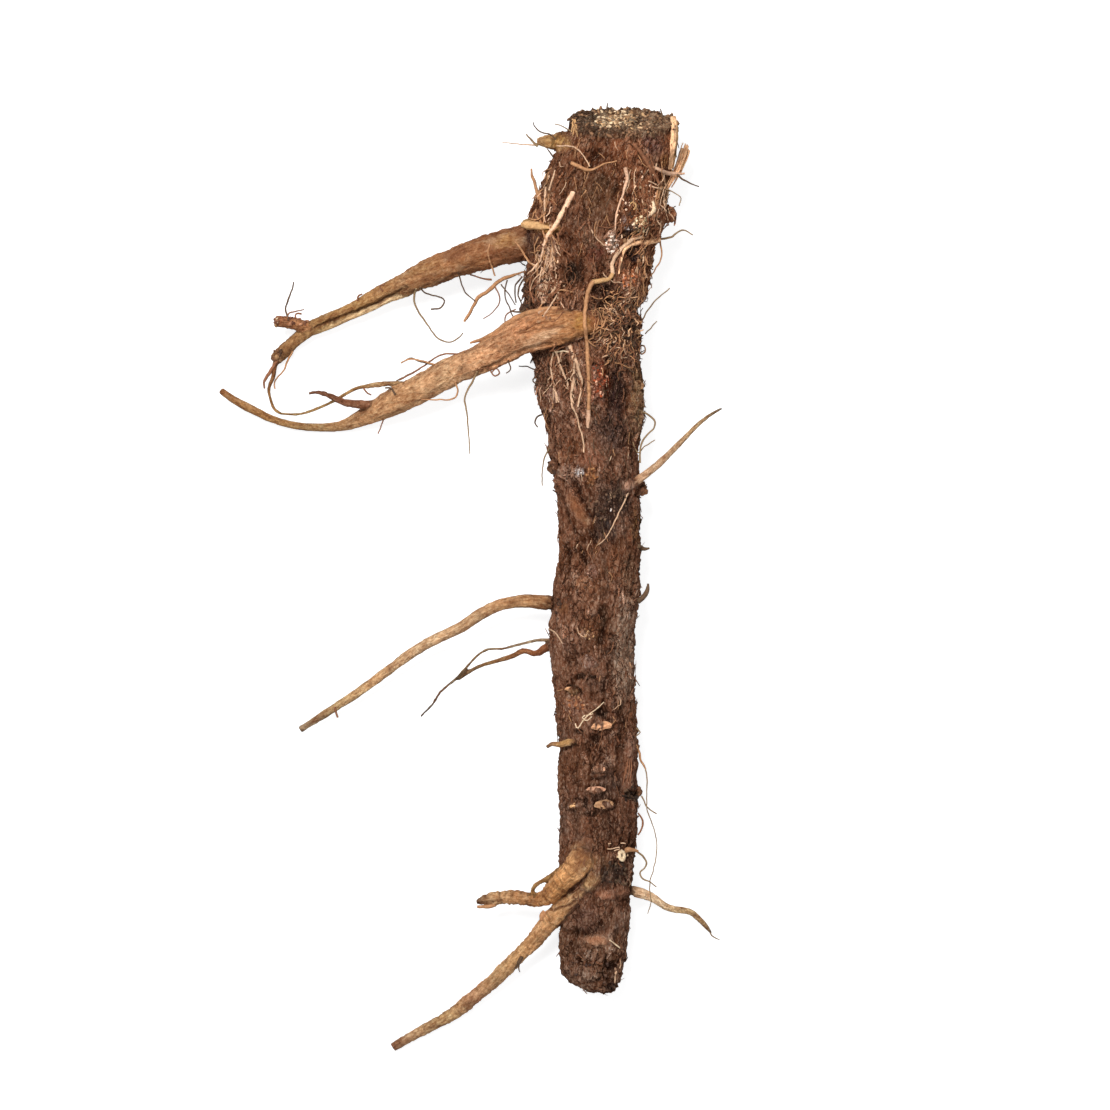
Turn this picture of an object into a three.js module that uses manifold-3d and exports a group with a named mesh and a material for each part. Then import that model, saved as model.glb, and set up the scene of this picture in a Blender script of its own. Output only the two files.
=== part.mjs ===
// A dried chicory root, lying on its side: a woody taproot, cut off slanting at the crown and
// snapped off at the tip, with the side roots that grow out of it. Millimetres, +Z up.
// The whole root grew as one piece, so it is one solid.
//
// Every root below is a list of stations [x, y, z, radius]: x across the taproot, y along it
// with the crown at 0 and the tip at about -265, z above the surface that the root lies on.
import * as THREE from "three";
import { mergeVertices } from "three/addons/utils/BufferGeometryUtils.js";
import Module from "manifold-3d";

const wasm = await Module();
wasm.setup();

// The crown is cut off slanting: the cut crosses the surface's level at this y and leans back
// from there, so that the cut face looks a little upwards.
const CROWN_CUT_Y = 2.7;
const CROWN_CUT_SLOPE = THREE.MathUtils.degToRad(19.4);
const CROWN_CUT_SKEW = THREE.MathUtils.degToRad(-1.5); // the cut runs back a little to the right
const CUTTER = 120; // side of the blocks that cut the crown off and flatten the underside
const UNDERSIDE_WEAR = 0; // level of the flats that the root rests on

const TAPROOT_DIRECTION = new THREE.Vector3(0, -1, 0); // from the crown to the tip
const TAPROOT_DEPTH = 0.94; // the taproot is this much shallower than it is wide
const RIDGES = 5; // shallow ridges that run along the taproot
const RIDGE_HEIGHT = 0.015; // as a share of the taproot's radius

const TAPROOT = [
  [7.4, 14, 17.8, 16],
  [7.3, 0, 17.8, 16.3],
  [6.8, -6, 17.8, 16.3],
  [4.8, -13, 18, 17.5],
  [2.6, -20, 18.2, 18.6],
  [0.2, -27, 18.4, 20],
  [-0.8, -33, 18.4, 20.8],
  [-1.9, -38, 18.2, 20.3],
  [-3.2, -42, 18, 18.8],
  [-3.4, -49, 17.8, 18.3],
  [-4.6, -56, 17.5, 17.8],
  [-6.2, -60, 17.3, 16.6],
  [-5.2, -64, 17.1, 17.2],
  [-4.8, -70, 16.6, 16.2],
  [-3.5, -78, 16, 15.3],
  [-2.9, -88, 15.6, 15.6],
  [-2, -96, 15.1, 13.5],
  [-1.7, -106, 14.6, 13.2],
  [-0.4, -117, 14.1, 12.5],
  [0, -130, 13.6, 12.3],
  [-1, -142, 13.2, 13],
  [-2.5, -155, 12.8, 12.8],
  [-2.1, -170, 12.3, 12],
  [-1, -185, 11.8, 11.9],
  [-0.5, -200, 11.3, 11.8],
  [-0.5, -215, 10.8, 11.8],
  [-1, -228, 10.1, 11.2],
  [-1.5, -240, 9.4, 10.3],
  [-1.9, -250, 9, 10.4],
  [-2.2, -255, 8.8, 10.1],
  [-2.8, -258.5, 8.7, 9.1],
  [-2.2, -261, 8.6, 8],
  [-1, -263.2, 8.4, 6],
  [2, -265.2, 8, 2.4],
];

// The two thick side roots near the crown reach out to the left and come down to the surface.
const SHOULDER_ROOT = [
  [-8, -36.6, 18, 6.5],
  [-16.5, -38.4, 17.4, 6.3],
  [-21, -39.9, 17, 5.7],
  [-30, -41.7, 15, 5.2],
  [-38.4, -44.2, 13.5, 4.9],
  [-45.3, -46.6, 12, 4.6],
  [-52.2, -49.3, 10.5, 4.3],
  [-58, -51.6, 9, 3.5],
  [-62.9, -53.1, 8.2, 2.3],
  [-69.3, -56.1, 7.2, 2],
  [-76, -59.6, 6, 1.6],
  [-82.6, -62.3, 5.2, 1.7],
  [-88.1, -65.6, 4.2, 2.2],
  [-91.8, -68.5, 3, 2],
  [-95.2, -71.5, 1.8, 2.15],
  [-98.5, -74.6, 2.3, 1.8],
];
const SHOULDER_STRAND = [
  [-50, -50.5, 9.5, 1.4],
  [-57.9, -54.6, 8.2, 1.3],
  [-63, -56.2, 7.2, 1.15],
  [-69.5, -59.3, 6.2, 1.05],
  [-76.1, -62.1, 5.2, 0.95],
  [-82.6, -64.8, 4.4, 1.1],
  [-88.6, -66.8, 3.8, 1.1],
];
const SHOULDER_STUB = [
  [-87.6, -65, 4.8, 1.9],
  [-92, -63.8, 6.2, 1.95],
  [-95.9, -63.2, 7.2, 1.9],
  [-97.7, -63, 7.7, 1.7],
];
const SHOULDER_CURL = [
  [-97.4, -74, 2.4, 1.2],
  [-98.4, -76.4, 2.4, 0.9],
  [-98.7, -79.6, 2.8, 0.75],
  [-100, -83.1, 3.6, 0.6],
  [-99.5, -86.3, 4.6, 0.55],
  [-98.1, -89.6, 5.4, 0.55],
  [-96, -90.9, 5.8, 0.5],
];
const ARM_ROOT = [
  [-0.6, -64.4, 29.5, 3.6],
  [-4, -64.9, 30.3, 4.7],
  [-9, -65.7, 30.6, 5.6],
  [-14.7, -66.7, 30, 6],
  [-22.4, -68.8, 26, 5.3],
  [-29.9, -72.1, 21.5, 4.8],
  [-35.9, -74.9, 18, 4.4],
  [-43.5, -78, 14.5, 4.35],
  [-51, -82, 11.5, 4.4],
  [-58.9, -85.8, 8.5, 4.4],
  [-66.6, -89.6, 5.6, 3.75],
  [-71.7, -92, 3.7, 2.7],
  [-77.7, -94.3, 1.9, 1.65],
  [-82.2, -94.8, 1.3, 1.4],
  [-90.1, -94.6, 2.1, 1.15],
  [-97.9, -92.9, 3.4, 1.2],
  [-105.3, -89.4, 5, 1.4],
  [-110.9, -86.3, 6.5, 1.2],
  [-114.2, -83.9, 7.5, 1],
];
const ARM_TWIG = [
  [-64.5, -88.5, 6, 1.9],
  [-69.4, -88.4, 7, 1.5],
  [-76.3, -87.8, 8, 1.15],
  [-82, -85.3, 9, 0.85],
  [-85.1, -84.6, 9.2, 0.6],
  [-87.8, -84.9, 9, 0.45],
];
const ARM_STRAND = [
  [-56, -82.5, 9, 1],
  [-60.5, -81.8, 8.4, 0.85],
  [-68.7, -82.4, 6.6, 0.75],
  [-73.7, -83.3, 5.6, 0.65],
  [-80.3, -87, 4.2, 0.55],
  [-87.7, -90.1, 3.2, 0.5],
  [-91.5, -91, 2.8, 0.5],
  [-96.7, -90.7, 2.6, 0.45],
];

// Thin roots along the body.
const RIGHT_TWIG = [
  [6, -113.5, 17.5, 1.7],
  [9.1, -112.3, 20, 1.6],
  [12.1, -110.5, 21.4, 1.3],
  [17.6, -106.2, 22.5, 1.15],
  [22.5, -101.3, 23.4, 1],
  [28.5, -95.2, 24.4, 0.8],
  [32, -92.3, 25, 0.6],
  [36.1, -89.9, 25, 0.45],
];
const LONG_ROOT = [
  [-8, -149.2, 12.5, 3],
  [-13.2, -148.3, 12.2, 2.6],
  [-21, -147.3, 11.4, 2.15],
  [-30, -148.4, 10.4, 1.9],
  [-36, -151.4, 9.7, 1.85],
  [-41.3, -155, 9, 1.8],
  [-48.5, -158.4, 8, 1.75],
  [-56, -162.6, 7, 1.65],
  [-62.3, -167.2, 6.2, 1.55],
  [-72.7, -174.8, 5.1, 1.45],
  [-83.3, -181.7, 4.2, 1.25],
  [-90.6, -186.3, 3.8, 1.05],
];
const FORK_UPPER = [
  [-10, -159.2, 12, 1.2],
  [-15.6, -159, 11.6, 0.7],
  [-19.2, -159.1, 11.2, 0.6],
  [-29.4, -161.7, 10, 0.5],
  [-33.6, -161.8, 9.4, 0.5],
  [-37.3, -164.1, 8.7, 0.5],
  [-42.9, -170.5, 7.4, 0.6],
  [-48.1, -174.8, 6.4, 0.5],
  [-50.3, -178.4, 5.8, 0.5],
  [-54.2, -182.4, 5.2, 0.4],
];
const FORK_LOWER = [
  [-10, -160.6, 11, 2.4],
  [-16, -161.2, 10.8, 1.5],
  [-19.2, -163.2, 10.4, 1.1],
  [-22.8, -162.2, 10, 1],
  [-25.8, -163.7, 9.6, 0.9],
  [-31, -165.4, 8.9, 0.75],
  [-36.3, -167, 8.2, 0.6],
  [-42.7, -170.7, 7.3, 0.75],
];

// Near the tip a tan root folds over the taproot in two strands: the upper one bends off to
// the left, the lower one runs on down to the surface.
const KNOT_UPPER = [
  [-1.5, -219.5, 16.5, 3],
  [-4.6, -223.2, 18.4, 3.9],
  [-8.4, -227.8, 19.4, 3.5],
  [-12, -231.6, 17.4, 3.3],
  [-15, -235.2, 14.6, 2.9],
  [-18, -236.8, 12.8, 2.3],
  [-21.9, -236.7, 12, 2.2],
  [-27.4, -236.3, 11, 2.15],
  [-31.6, -236.7, 10.4, 2],
  [-34.5, -237.2, 10, 1.7],
  [-37.2, -237.9, 9.6, 0.9],
];
const KNOT_LOWER = [
  [0.5, -229.5, 15.5, 2.2],
  [-2.2, -230.6, 17.2, 2.7],
  [-5, -233.7, 17.4, 2.7],
  [-8.6, -237, 15.6, 2.9],
  [-10.7, -239.3, 13.8, 3.1],
  [-14.1, -242.5, 12, 3.1],
  [-18.4, -247.9, 10, 2.65],
  [-22.7, -252.6, 8.2, 2.35],
  [-28, -257.8, 6.5, 2.3],
  [-32.1, -262, 5.2, 2.25],
  [-36.2, -265.6, 4.1, 2.2],
  [-40.4, -269.2, 3.2, 2.15],
  [-45.8, -273.3, 2.3, 2],
  [-52.8, -277, 1.7, 1.75],
  [-57.6, -279.7, 1.4, 1.6],
  [-62.6, -282.5, 1.3, 1.4],
];
const KNOT_LOOP = [
  [-11, -226.5, 17, 1],
  [-15.9, -230.2, 16, 0.8],
  [-19, -232, 15, 0.8],
  [-20.2, -234, 14, 0.8],
  [-19.4, -236, 12.8, 0.8],
];
const TIP_ROOT = [
  [5, -233.2, 9.4, 2.2],
  [9.1, -234.4, 9, 1.85],
  [13.2, -235.5, 8.5, 1.65],
  [16.8, -237.2, 8, 1.45],
  [19.5, -239.3, 7, 1.25],
  [23, -240.5, 6, 1.2],
  [27.1, -241.1, 5, 1.1],
  [29.9, -243.3, 4, 1],
  [32.1, -245.8, 3, 0.85],
  [33.9, -248, 2.4, 0.4],
];

// Broken-off stubs.
const CROWN_STUB = [
  [-4, -9.6, 19, 3],
  [-10.3, -9.8, 19, 2.9],
  [-13.4, -10.4, 19, 2.6],
  [-16.4, -10.1, 18.7, 2],
  [-18.8, -10.1, 18.5, 1],
];
const SHOULDER_PEG = [
  [-13.5, -35.6, 30.6, 1.6],
  [-17.5, -35.6, 28.8, 1.6],
  [-20.5, -35.4, 26.2, 1.55],
  [-22.6, -35.1, 24, 1.4],
];
const BODY_PEG = [
  [-4.5, -188.8, 20.2, 1.4],
  [-7, -189.1, 21.5, 1.3],
  [-9.7, -189.3, 20.8, 1.2],
  [-12, -190, 19.8, 0.95],
  [-14.4, -189.8, 19, 0.8],
  [-16, -190.9, 18.6, 0.65],
];

// Knobs on the taproot's flanks: [x, y, z, radius].
const KNOBS = [
  [20.2, -32.3, 20, 2.7],
  [-12.9, -107, 14.5, 2],
  [11.6, -113.4, 16.5, 2.2],
  [10.8, -204.3, 11.5, 1.8],
  [-11.5, -148.6, 13, 3.4],
  [-12.2, -160.4, 11.4, 2.9],
];

// One root as a closed geometry. A lathe turns a spindle of unit radius whose height counts
// rings; each of its points is then carried to its ring's place on the root's centre line.
// The rings stand square to the line, or all square to one direction where it is given.
function growRoot(stations, { sides, rings, direction, depth = 1, ridgeHeight = 0 }) {
  const profile = [new THREE.Vector2(0, 0)];
  for (let ring = 0; ring <= rings; ring++) {
    profile.push(new THREE.Vector2(1, ring));
  }
  profile.push(new THREE.Vector2(0, rings));
  const geometry = new THREE.LatheGeometry(profile, sides);

  const centres = stations.map(([x, y, z]) => new THREE.Vector3(x, y, z));
  const line = new THREE.CatmullRomCurve3(centres, false, "centripetal");
  const up = new THREE.Vector3(0, 0, 1);
  const frames = profile.map((_, step) => {
    const t = Math.min(Math.max(step - 1, 0), rings) / rings;
    const along = direction ?? line.getTangent(t);
    const across = new THREE.Vector3().crossVectors(along, up).normalize();
    const above = new THREE.Vector3().crossVectors(across, along);
    return { centre: line.getPoint(t), across, above, radius: radiusAt(stations, t) };
  });

  const position = geometry.getAttribute("position");
  for (let i = 0; i < position.count; i++) {
    const { centre, across, above, radius } = frames[i % profile.length];
    const turn = Math.atan2(position.getX(i), position.getZ(i));
    const swell = radius * (1 + ridgeHeight * Math.cos(RIDGES * turn));
    const point = centre
      .clone()
      .addScaledVector(across, position.getX(i) * swell)
      .addScaledVector(above, position.getZ(i) * swell * depth);
    position.setXYZ(i, point.x, point.y, point.z);
  }
  return geometry;
}

// The root's radius at t, from 0 to 1 along its stations, which share t evenly.
function radiusAt(stations, t) {
  const place = t * (stations.length - 1);
  const from = Math.min(Math.floor(place), stations.length - 2);
  return THREE.MathUtils.lerp(stations[from][3], stations[from + 1][3], place - from);
}

// A geometry as a manifold-3d solid, which can be joined and cut.
function solid(geometry) {
  const bare = geometry.clone();
  bare.deleteAttribute("normal");
  bare.deleteAttribute("uv");
  const merged = mergeVertices(bare, 1e-4);
  return new wasm.Manifold(
    new wasm.Mesh({
      numProp: 3,
      vertProperties: merged.getAttribute("position").array,
      triVerts: new Uint32Array(merged.index.array),
    }),
  );
}

// A manifold-3d solid as a geometry.
function geometryOf(manifold) {
  const mesh = manifold.getMesh();
  const geometry = new THREE.BufferGeometry();
  geometry.setAttribute("position", new THREE.BufferAttribute(mesh.vertProperties, 3));
  geometry.setIndex(new THREE.BufferAttribute(mesh.triVerts, 1));
  return geometry;
}

function knob([x, y, z, radius]) {
  return new THREE.SphereGeometry(radius, 9, 6).translate(x, y, z);
}

// The block beyond the crown's slanting cut.
function crownCutter() {
  return new THREE.BoxGeometry(CUTTER, CUTTER, CUTTER)
    .translate(0, CUTTER / 2, 0)
    .rotateX(CROWN_CUT_SLOPE)
    .rotateZ(CROWN_CUT_SKEW)
    .translate(0, CROWN_CUT_Y, UNDERSIDE_WEAR);
}

// The block under the root, which leaves it flat where it rests.
function groundCutter() {
  const block = new THREE.BoxGeometry(4 * CUTTER, 4 * CUTTER, CUTTER);
  return block.translate(0, -CUTTER, UNDERSIDE_WEAR - CUTTER / 2);
}

const taproot = growRoot(TAPROOT, {
  direction: TAPROOT_DIRECTION,
  sides: 22,
  rings: 55,
  depth: TAPROOT_DEPTH,
  ridgeHeight: RIDGE_HEIGHT,
});
const grown = [
  growRoot(SHOULDER_ROOT, { sides: 9, rings: 29 }),
  growRoot(SHOULDER_STRAND, { sides: 7, rings: 12 }),
  growRoot(SHOULDER_STUB, { sides: 8, rings: 6 }),
  growRoot(SHOULDER_CURL, { sides: 6, rings: 14 }),
  growRoot(ARM_ROOT, { sides: 10, rings: 34 }),
  growRoot(ARM_TWIG, { sides: 7, rings: 12 }),
  growRoot(ARM_STRAND, { sides: 6, rings: 16 }),
  growRoot(RIGHT_TWIG, { sides: 7, rings: 14 }),
  growRoot(LONG_ROOT, { sides: 7, rings: 22 }),
  growRoot(FORK_UPPER, { sides: 5, rings: 18 }),
  growRoot(FORK_LOWER, { sides: 6, rings: 16 }),
  growRoot(KNOT_UPPER, { sides: 8, rings: 20 }),
  growRoot(KNOT_LOWER, { sides: 8, rings: 27 }),
  growRoot(KNOT_LOOP, { sides: 6, rings: 10 }),
  growRoot(TIP_ROOT, { sides: 6, rings: 18 }),
  growRoot(CROWN_STUB, { sides: 9, rings: 8 }),
  growRoot(SHOULDER_PEG, { sides: 8, rings: 6 }),
  growRoot(BODY_PEG, { sides: 6, rings: 10 }),
  ...KNOBS.map(knob),
];

const whole = grown
  .reduce((root, branch) => root.add(solid(branch)), solid(taproot))
  .subtract(solid(crownCutter()))
  .subtract(solid(groundCutter()));
const geometry = geometryOf(whole);

// The origin is the middle of the root's box, on the surface that it rests on.
geometry.computeBoundingBox();
const middle = geometry.boundingBox.getCenter(new THREE.Vector3());
geometry.translate(-middle.x, -middle.y, -geometry.boundingBox.min.z);
geometry.computeVertexNormals();

const bark = new THREE.MeshStandardMaterial({
  color: "#6b4632",
  roughness: 0.9,
  metalness: 0,
});
const chicoryRoot = new THREE.Mesh(geometry, bark);
chicoryRoot.name = "chicory_root";

const object = new THREE.Group();
object.add(chicoryRoot);

export default object;
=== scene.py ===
# %% [markdown]
# # A dried chicory root
#
# The root lies on its side, the saw-cut crown at the top and the snapped tip at the bottom. Its
# plain shape comes in ready made. This lesson gives it bark, skin and a crumbly cut face, then
# adds what is too fine for the plain shape: rootlets, hair roots, flakes and broken stubs.

import math
import random

import bpy
import numpy as np
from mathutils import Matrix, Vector, noise
from mathutils.bvhtree import BVHTree


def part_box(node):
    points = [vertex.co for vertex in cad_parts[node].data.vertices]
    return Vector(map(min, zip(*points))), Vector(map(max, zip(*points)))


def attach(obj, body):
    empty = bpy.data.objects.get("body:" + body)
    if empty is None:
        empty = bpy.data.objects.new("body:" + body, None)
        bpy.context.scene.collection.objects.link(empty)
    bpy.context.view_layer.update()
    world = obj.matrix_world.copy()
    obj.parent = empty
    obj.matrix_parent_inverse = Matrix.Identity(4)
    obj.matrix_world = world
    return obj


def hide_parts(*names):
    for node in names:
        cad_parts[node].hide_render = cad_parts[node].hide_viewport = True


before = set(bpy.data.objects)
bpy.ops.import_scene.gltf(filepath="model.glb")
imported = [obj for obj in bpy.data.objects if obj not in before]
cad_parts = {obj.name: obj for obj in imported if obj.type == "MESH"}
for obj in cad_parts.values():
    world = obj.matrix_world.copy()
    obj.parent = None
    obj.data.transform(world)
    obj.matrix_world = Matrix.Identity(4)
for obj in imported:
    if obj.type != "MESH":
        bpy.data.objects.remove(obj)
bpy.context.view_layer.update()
bpy.ops.object.select_all(action="DESELECT")

# %% [markdown]
# ## Millimetres from the crown
#
# A root is easiest to measure from its crown: x across it, y along it with the tip at about
# -265, z above the table, all in millimetres. The box of the plain root says where that is.
# Small things are placed on a drawing plane at half height and dropped along the line of sight
# onto the bark, so they sit where a viewer straight above sees them.

# %% Where the crown frame lies
MM = 0.001
CROWN_FROM_CORNER = (114.82, 283.72)
EYE = np.array([-13.5, -133.5, 1122])
PLANE = 12
DARKEST = 0.002
low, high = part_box("chicory_root")
ORIGIN = np.array([low.x / MM + CROWN_FROM_CORNER[0], low.y / MM + CROWN_FROM_CORNER[1], 0])


def seen(points):
    """Where points appear on the drawing plane, from the viewer's eye."""
    closer = (EYE[2] - PLANE) / (EYE[2] - points[:, 2])
    return EYE[:2] + (points[:, :2] - EYE[:2]) * closer[:, None]


def colour(code):
    """A colour such as #6b4632 as the linear numbers that Blender works in."""
    parts = np.array([int(code[i : i + 2], 16) / 255 for i in (1, 3, 5)])
    return np.where(parts <= 0.04045, parts / 12.92, ((parts + 0.055) / 1.055) ** 2.4)


def ramp(value, start, end):
    """0 at start, 1 at end, a smooth change between them, and no more beyond them."""
    t = np.clip((value - start) / (end - start), 0, 1)
    return t * t * (3 - 2 * t)


def unit(rows):
    """Each row made 1 long."""
    return rows / np.linalg.norm(rows, axis=1)[:, None]


print("crown frame starts at", ORIGIN.round(2), "mm")

# %% [markdown]
# ## The roots as lines
#
# Bark grain runs along each root, and the skin changes from root to root. So every root is
# written down as stations x, y, z, radius along its middle, with its skin colours from base to
# end. A point on the surface belongs to the root whose line is nearest.

# %% Lines and skin colours of the roots
TAPROOT = [
    [7.4, 14, 17.8, 16], [7.3, 0, 17.8, 16.3], [4.8, -13, 18, 17.5], [0.2, -27, 18.4, 20],
    [-1.9, -38, 18.2, 20.3], [-3.4, -49, 17.8, 18.3], [-6.2, -60, 17.3, 16.6],
    [-4.8, -70, 16.6, 16.2], [-3.5, -78, 16, 15.3], [-2.9, -88, 15.6, 15.6],
    [-2, -96, 15.1, 13.5], [-0.4, -117, 14.1, 12.5], [0, -130, 13.6, 12.3],
    [-1, -142, 13.2, 13], [-2.5, -155, 12.8, 12.8], [-2.1, -170, 12.3, 12],
    [-1, -185, 11.8, 11.9], [-0.5, -215, 10.8, 11.8], [-1.5, -240, 9.4, 10.3],
    [-1.9, -250, 9, 10.4], [-2.8, -258.5, 8.7, 9.1], [-1, -263.2, 8.4, 6], [2, -265.2, 8, 2.4],
]
SIDE_ROOTS = {
    "shoulder root": (
        [
            [-16.5, -38.4, 17.4, 6.3], [-21, -39.9, 17, 5.7], [-30, -41.7, 15, 5.2],
            [-38.4, -44.2, 13.5, 4.9], [-45.3, -46.6, 12, 4.6], [-52.2, -49.3, 10.5, 4.3],
            [-58, -51.6, 9, 3.5], [-62.9, -53.1, 8.2, 2.3], [-69.3, -56.1, 7.2, 2],
            [-76, -59.6, 6, 1.6], [-82.6, -62.3, 5.2, 1.7], [-88.1, -65.6, 4.2, 2.2],
            [-91.8, -68.5, 3, 2], [-95.2, -71.5, 1.8, 2.15], [-98.5, -74.6, 2.3, 1.8],
        ],
        ["#724932", "#986544", "#a4714b", "#ae8058", "#b08454", "#aa7e52", "#8c6442"],
    ),
    "shoulder strand": (
        [[-50, -50.5, 9.5, 1.4], [-63, -56.2, 7.2, 1.15], [-76.1, -62.1, 5.2, 0.95],
         [-88.6, -66.8, 3.8, 1.1]],
        ["#d3ad82", "#deba8e", "#cba370"],
    ),
    "shoulder stub": (
        [[-87.6, -65, 4.8, 1.9], [-92, -63.8, 6.2, 1.95], [-97.7, -63, 7.7, 1.7]],
        ["#a8754e", "#9a6446"],
    ),
    "shoulder curl": (
        [[-97.4, -74, 2.4, 1.2], [-98.7, -79.6, 2.8, 0.75], [-100, -83.1, 3.6, 0.6],
         [-99.5, -86.3, 4.6, 0.55], [-96, -90.9, 5.8, 0.5]],
        ["#8b6342", "#9c7243"],
    ),
    "arm root": (
        [
            [-4, -64.9, 30.3, 4.7], [-9, -65.7, 30.6, 5.6], [-14.7, -66.7, 30, 6],
            [-22.4, -68.8, 26, 5.3], [-29.9, -72.1, 21.5, 4.8], [-35.9, -74.9, 18, 4.4],
            [-43.5, -78, 14.5, 4.35], [-51, -82, 11.5, 4.4], [-58.9, -85.8, 8.5, 4.4],
            [-66.6, -89.6, 5.6, 3.75], [-71.7, -92, 3.7, 2.7], [-77.7, -94.3, 1.9, 1.65],
            [-82.2, -94.8, 1.3, 1.4], [-90.1, -94.6, 2.1, 1.15], [-97.9, -92.9, 3.4, 1.2],
            [-105.3, -89.4, 5, 1.4], [-110.9, -86.3, 6.5, 1.2], [-114.2, -83.9, 7.5, 1],
        ],
        ["#b07c4e", "#c88b62", "#d39a70", "#d3a37a", "#c7966c", "#be8d64", "#b08a60",
         "#ab7c4e", "#986a42"],
    ),
    "arm twig": (
        [[-64.5, -88.5, 6, 1.9], [-69.4, -88.4, 7, 1.5], [-76.3, -87.8, 8, 1.15],
         [-82, -85.3, 9, 0.85], [-87.8, -84.9, 9, 0.45]],
        ["#a8775a", "#8f5f46", "#6f4a38"],
    ),
    "arm strand": (
        [[-56, -82.5, 9, 1], [-60.5, -81.8, 8.4, 0.85], [-68.7, -82.4, 6.6, 0.75],
         [-80.3, -87, 4.2, 0.55], [-87.7, -90.1, 3.2, 0.5], [-96.7, -90.7, 2.6, 0.45]],
        ["#b88f68", "#ab8456", "#9a774c"],
    ),
    "right twig": (
        [[6, -113.5, 17.5, 1.7], [12.1, -110.5, 21.4, 1.3], [17.6, -106.2, 22.5, 1.15],
         [22.5, -101.3, 23.4, 1], [28.5, -95.2, 24.4, 0.8], [36.1, -89.9, 25, 0.45]],
        ["#cd9a78", "#dab08c", "#d0a883", "#b9946c", "#5f4a3a"],
    ),
    "long root": (
        [
            [-8, -149.2, 12.5, 3], [-13.2, -148.3, 12.2, 2.6], [-21, -147.3, 11.4, 2.15],
            [-30, -148.4, 10.4, 1.9], [-36, -151.4, 9.7, 1.85], [-41.3, -155, 9, 1.8],
            [-48.5, -158.4, 8, 1.75], [-56, -162.6, 7, 1.65], [-62.3, -167.2, 6.2, 1.55],
            [-72.7, -174.8, 5.1, 1.45], [-83.3, -181.7, 4.2, 1.25], [-90.6, -186.3, 3.8, 1.05],
        ],
        ["#5f3d2a", "#b6855c", "#bf9168", "#cca37c", "#cda57e", "#c79b70", "#b8966c",
         "#7d6652"],
    ),
    "upper fork": (
        [[-10, -159.2, 12, 1.2], [-19.2, -159.1, 11.2, 0.6], [-29.4, -161.7, 10, 0.5],
         [-37.3, -164.1, 8.7, 0.5], [-42.9, -170.5, 7.4, 0.6], [-54.2, -182.4, 5.2, 0.4]],
        ["#7a5a44", "#8f7a62", "#8a6c4c", "#7b6552", "#5b4c42"],
    ),
    "lower fork": (
        [[-10, -160.6, 11, 2.4], [-16, -161.2, 10.8, 1.5], [-19.2, -163.2, 10.4, 1.1],
         [-25.8, -163.7, 9.6, 0.9], [-36.3, -167, 8.2, 0.6], [-42.7, -170.7, 7.3, 0.75]],
        ["#70452f", "#935a3a", "#8d6c48", "#7a6148"],
    ),
    "knot, upper root": (
        [
            [-1.5, -219.5, 16.5, 3], [-4.6, -223.2, 18.4, 3.9], [-8.4, -227.8, 19.4, 3.5],
            [-12, -231.6, 17.4, 3.3], [-15, -235.2, 14.6, 2.9], [-18, -236.8, 12.8, 2.3],
            [-21.9, -236.7, 12, 2.2], [-27.4, -236.3, 11, 2.15], [-31.6, -236.7, 10.4, 2],
            [-37.2, -237.9, 9.6, 0.9],
        ],
        ["#94694a", "#cc9462", "#d89c66", "#cc915c", "#b98052", "#c08c60", "#c59a70",
         "#6d5442"],
    ),
    "knot, lower root": (
        [
            [0.5, -229.5, 15.5, 2.2], [-2.2, -230.6, 17.2, 2.7], [-5, -233.7, 17.4, 2.7],
            [-8.6, -237, 15.6, 2.9], [-10.7, -239.3, 13.8, 3.1], [-14.1, -242.5, 12, 3.1],
            [-18.4, -247.9, 10, 2.65], [-22.7, -252.6, 8.2, 2.35], [-28, -257.8, 6.5, 2.3],
            [-36.2, -265.6, 4.1, 2.2], [-45.8, -273.3, 2.3, 2], [-57.6, -279.7, 1.4, 1.6],
            [-62.6, -282.5, 1.3, 1.4],
        ],
        ["#b5855a", "#cf9f72", "#cd996a", "#c99466", "#c69769", "#cc9f73", "#b58563",
         "#c29a6c", "#bc946d", "#8c6048"],
    ),
    "knot loop": (
        [[-11, -226.5, 17, 1], [-15.9, -230.2, 16, 0.8], [-20.2, -234, 14, 0.8],
         [-19.4, -236, 12.8, 0.8]],
        ["#8f673f", "#a97f50"],
    ),
    "tip root": (
        [[5, -233.2, 9.4, 2.2], [9.1, -234.4, 9, 1.85], [13.2, -235.5, 8.5, 1.65],
         [16.8, -237.2, 8, 1.45], [19.5, -239.3, 7, 1.25], [27.1, -241.1, 5, 1.1],
         [32.1, -245.8, 3, 0.85], [33.9, -248, 2.4, 0.4]],
        ["#a06e50", "#e0b48e", "#ecc8a2", "#deb88a", "#cba678", "#50433c"],
    ),
    "crown stub": (
        [[-4, -9.6, 19, 3], [-10.3, -9.8, 19, 2.9], [-13.4, -10.4, 19, 2.6],
         [-16.4, -10.1, 18.7, 2], [-18.8, -10.1, 18.5, 1]],
        ["#7d5a3a", "#a97b4a", "#cb9c66", "#bb946a"],
    ),
    "shoulder peg": (
        [[-13.5, -35.6, 30.6, 1.6], [-17.5, -35.6, 28.8, 1.6], [-22.6, -35.1, 24, 1.4]],
        ["#7d5a3a", "#a8804c", "#bf9a62"],
    ),
    "body peg": (
        [[-4.5, -188.8, 20.2, 1.4], [-9.7, -189.3, 20.8, 1.2], [-12, -190, 19.8, 0.95],
         [-14.4, -189.8, 19, 0.8], [-16, -190.9, 18.6, 0.65]],
        ["#ad8258", "#c69b66", "#a8794d", "#6f4c37"],
    ),
}
WRINKLED = {
    "knot, upper root": 1.5, "knot, lower root": 0.9, "crown stub": 1.0, "knot loop": 1.0,
    "shoulder stub": 0.9, "arm twig": 0.8, "shoulder root": 0.5,
}
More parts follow.
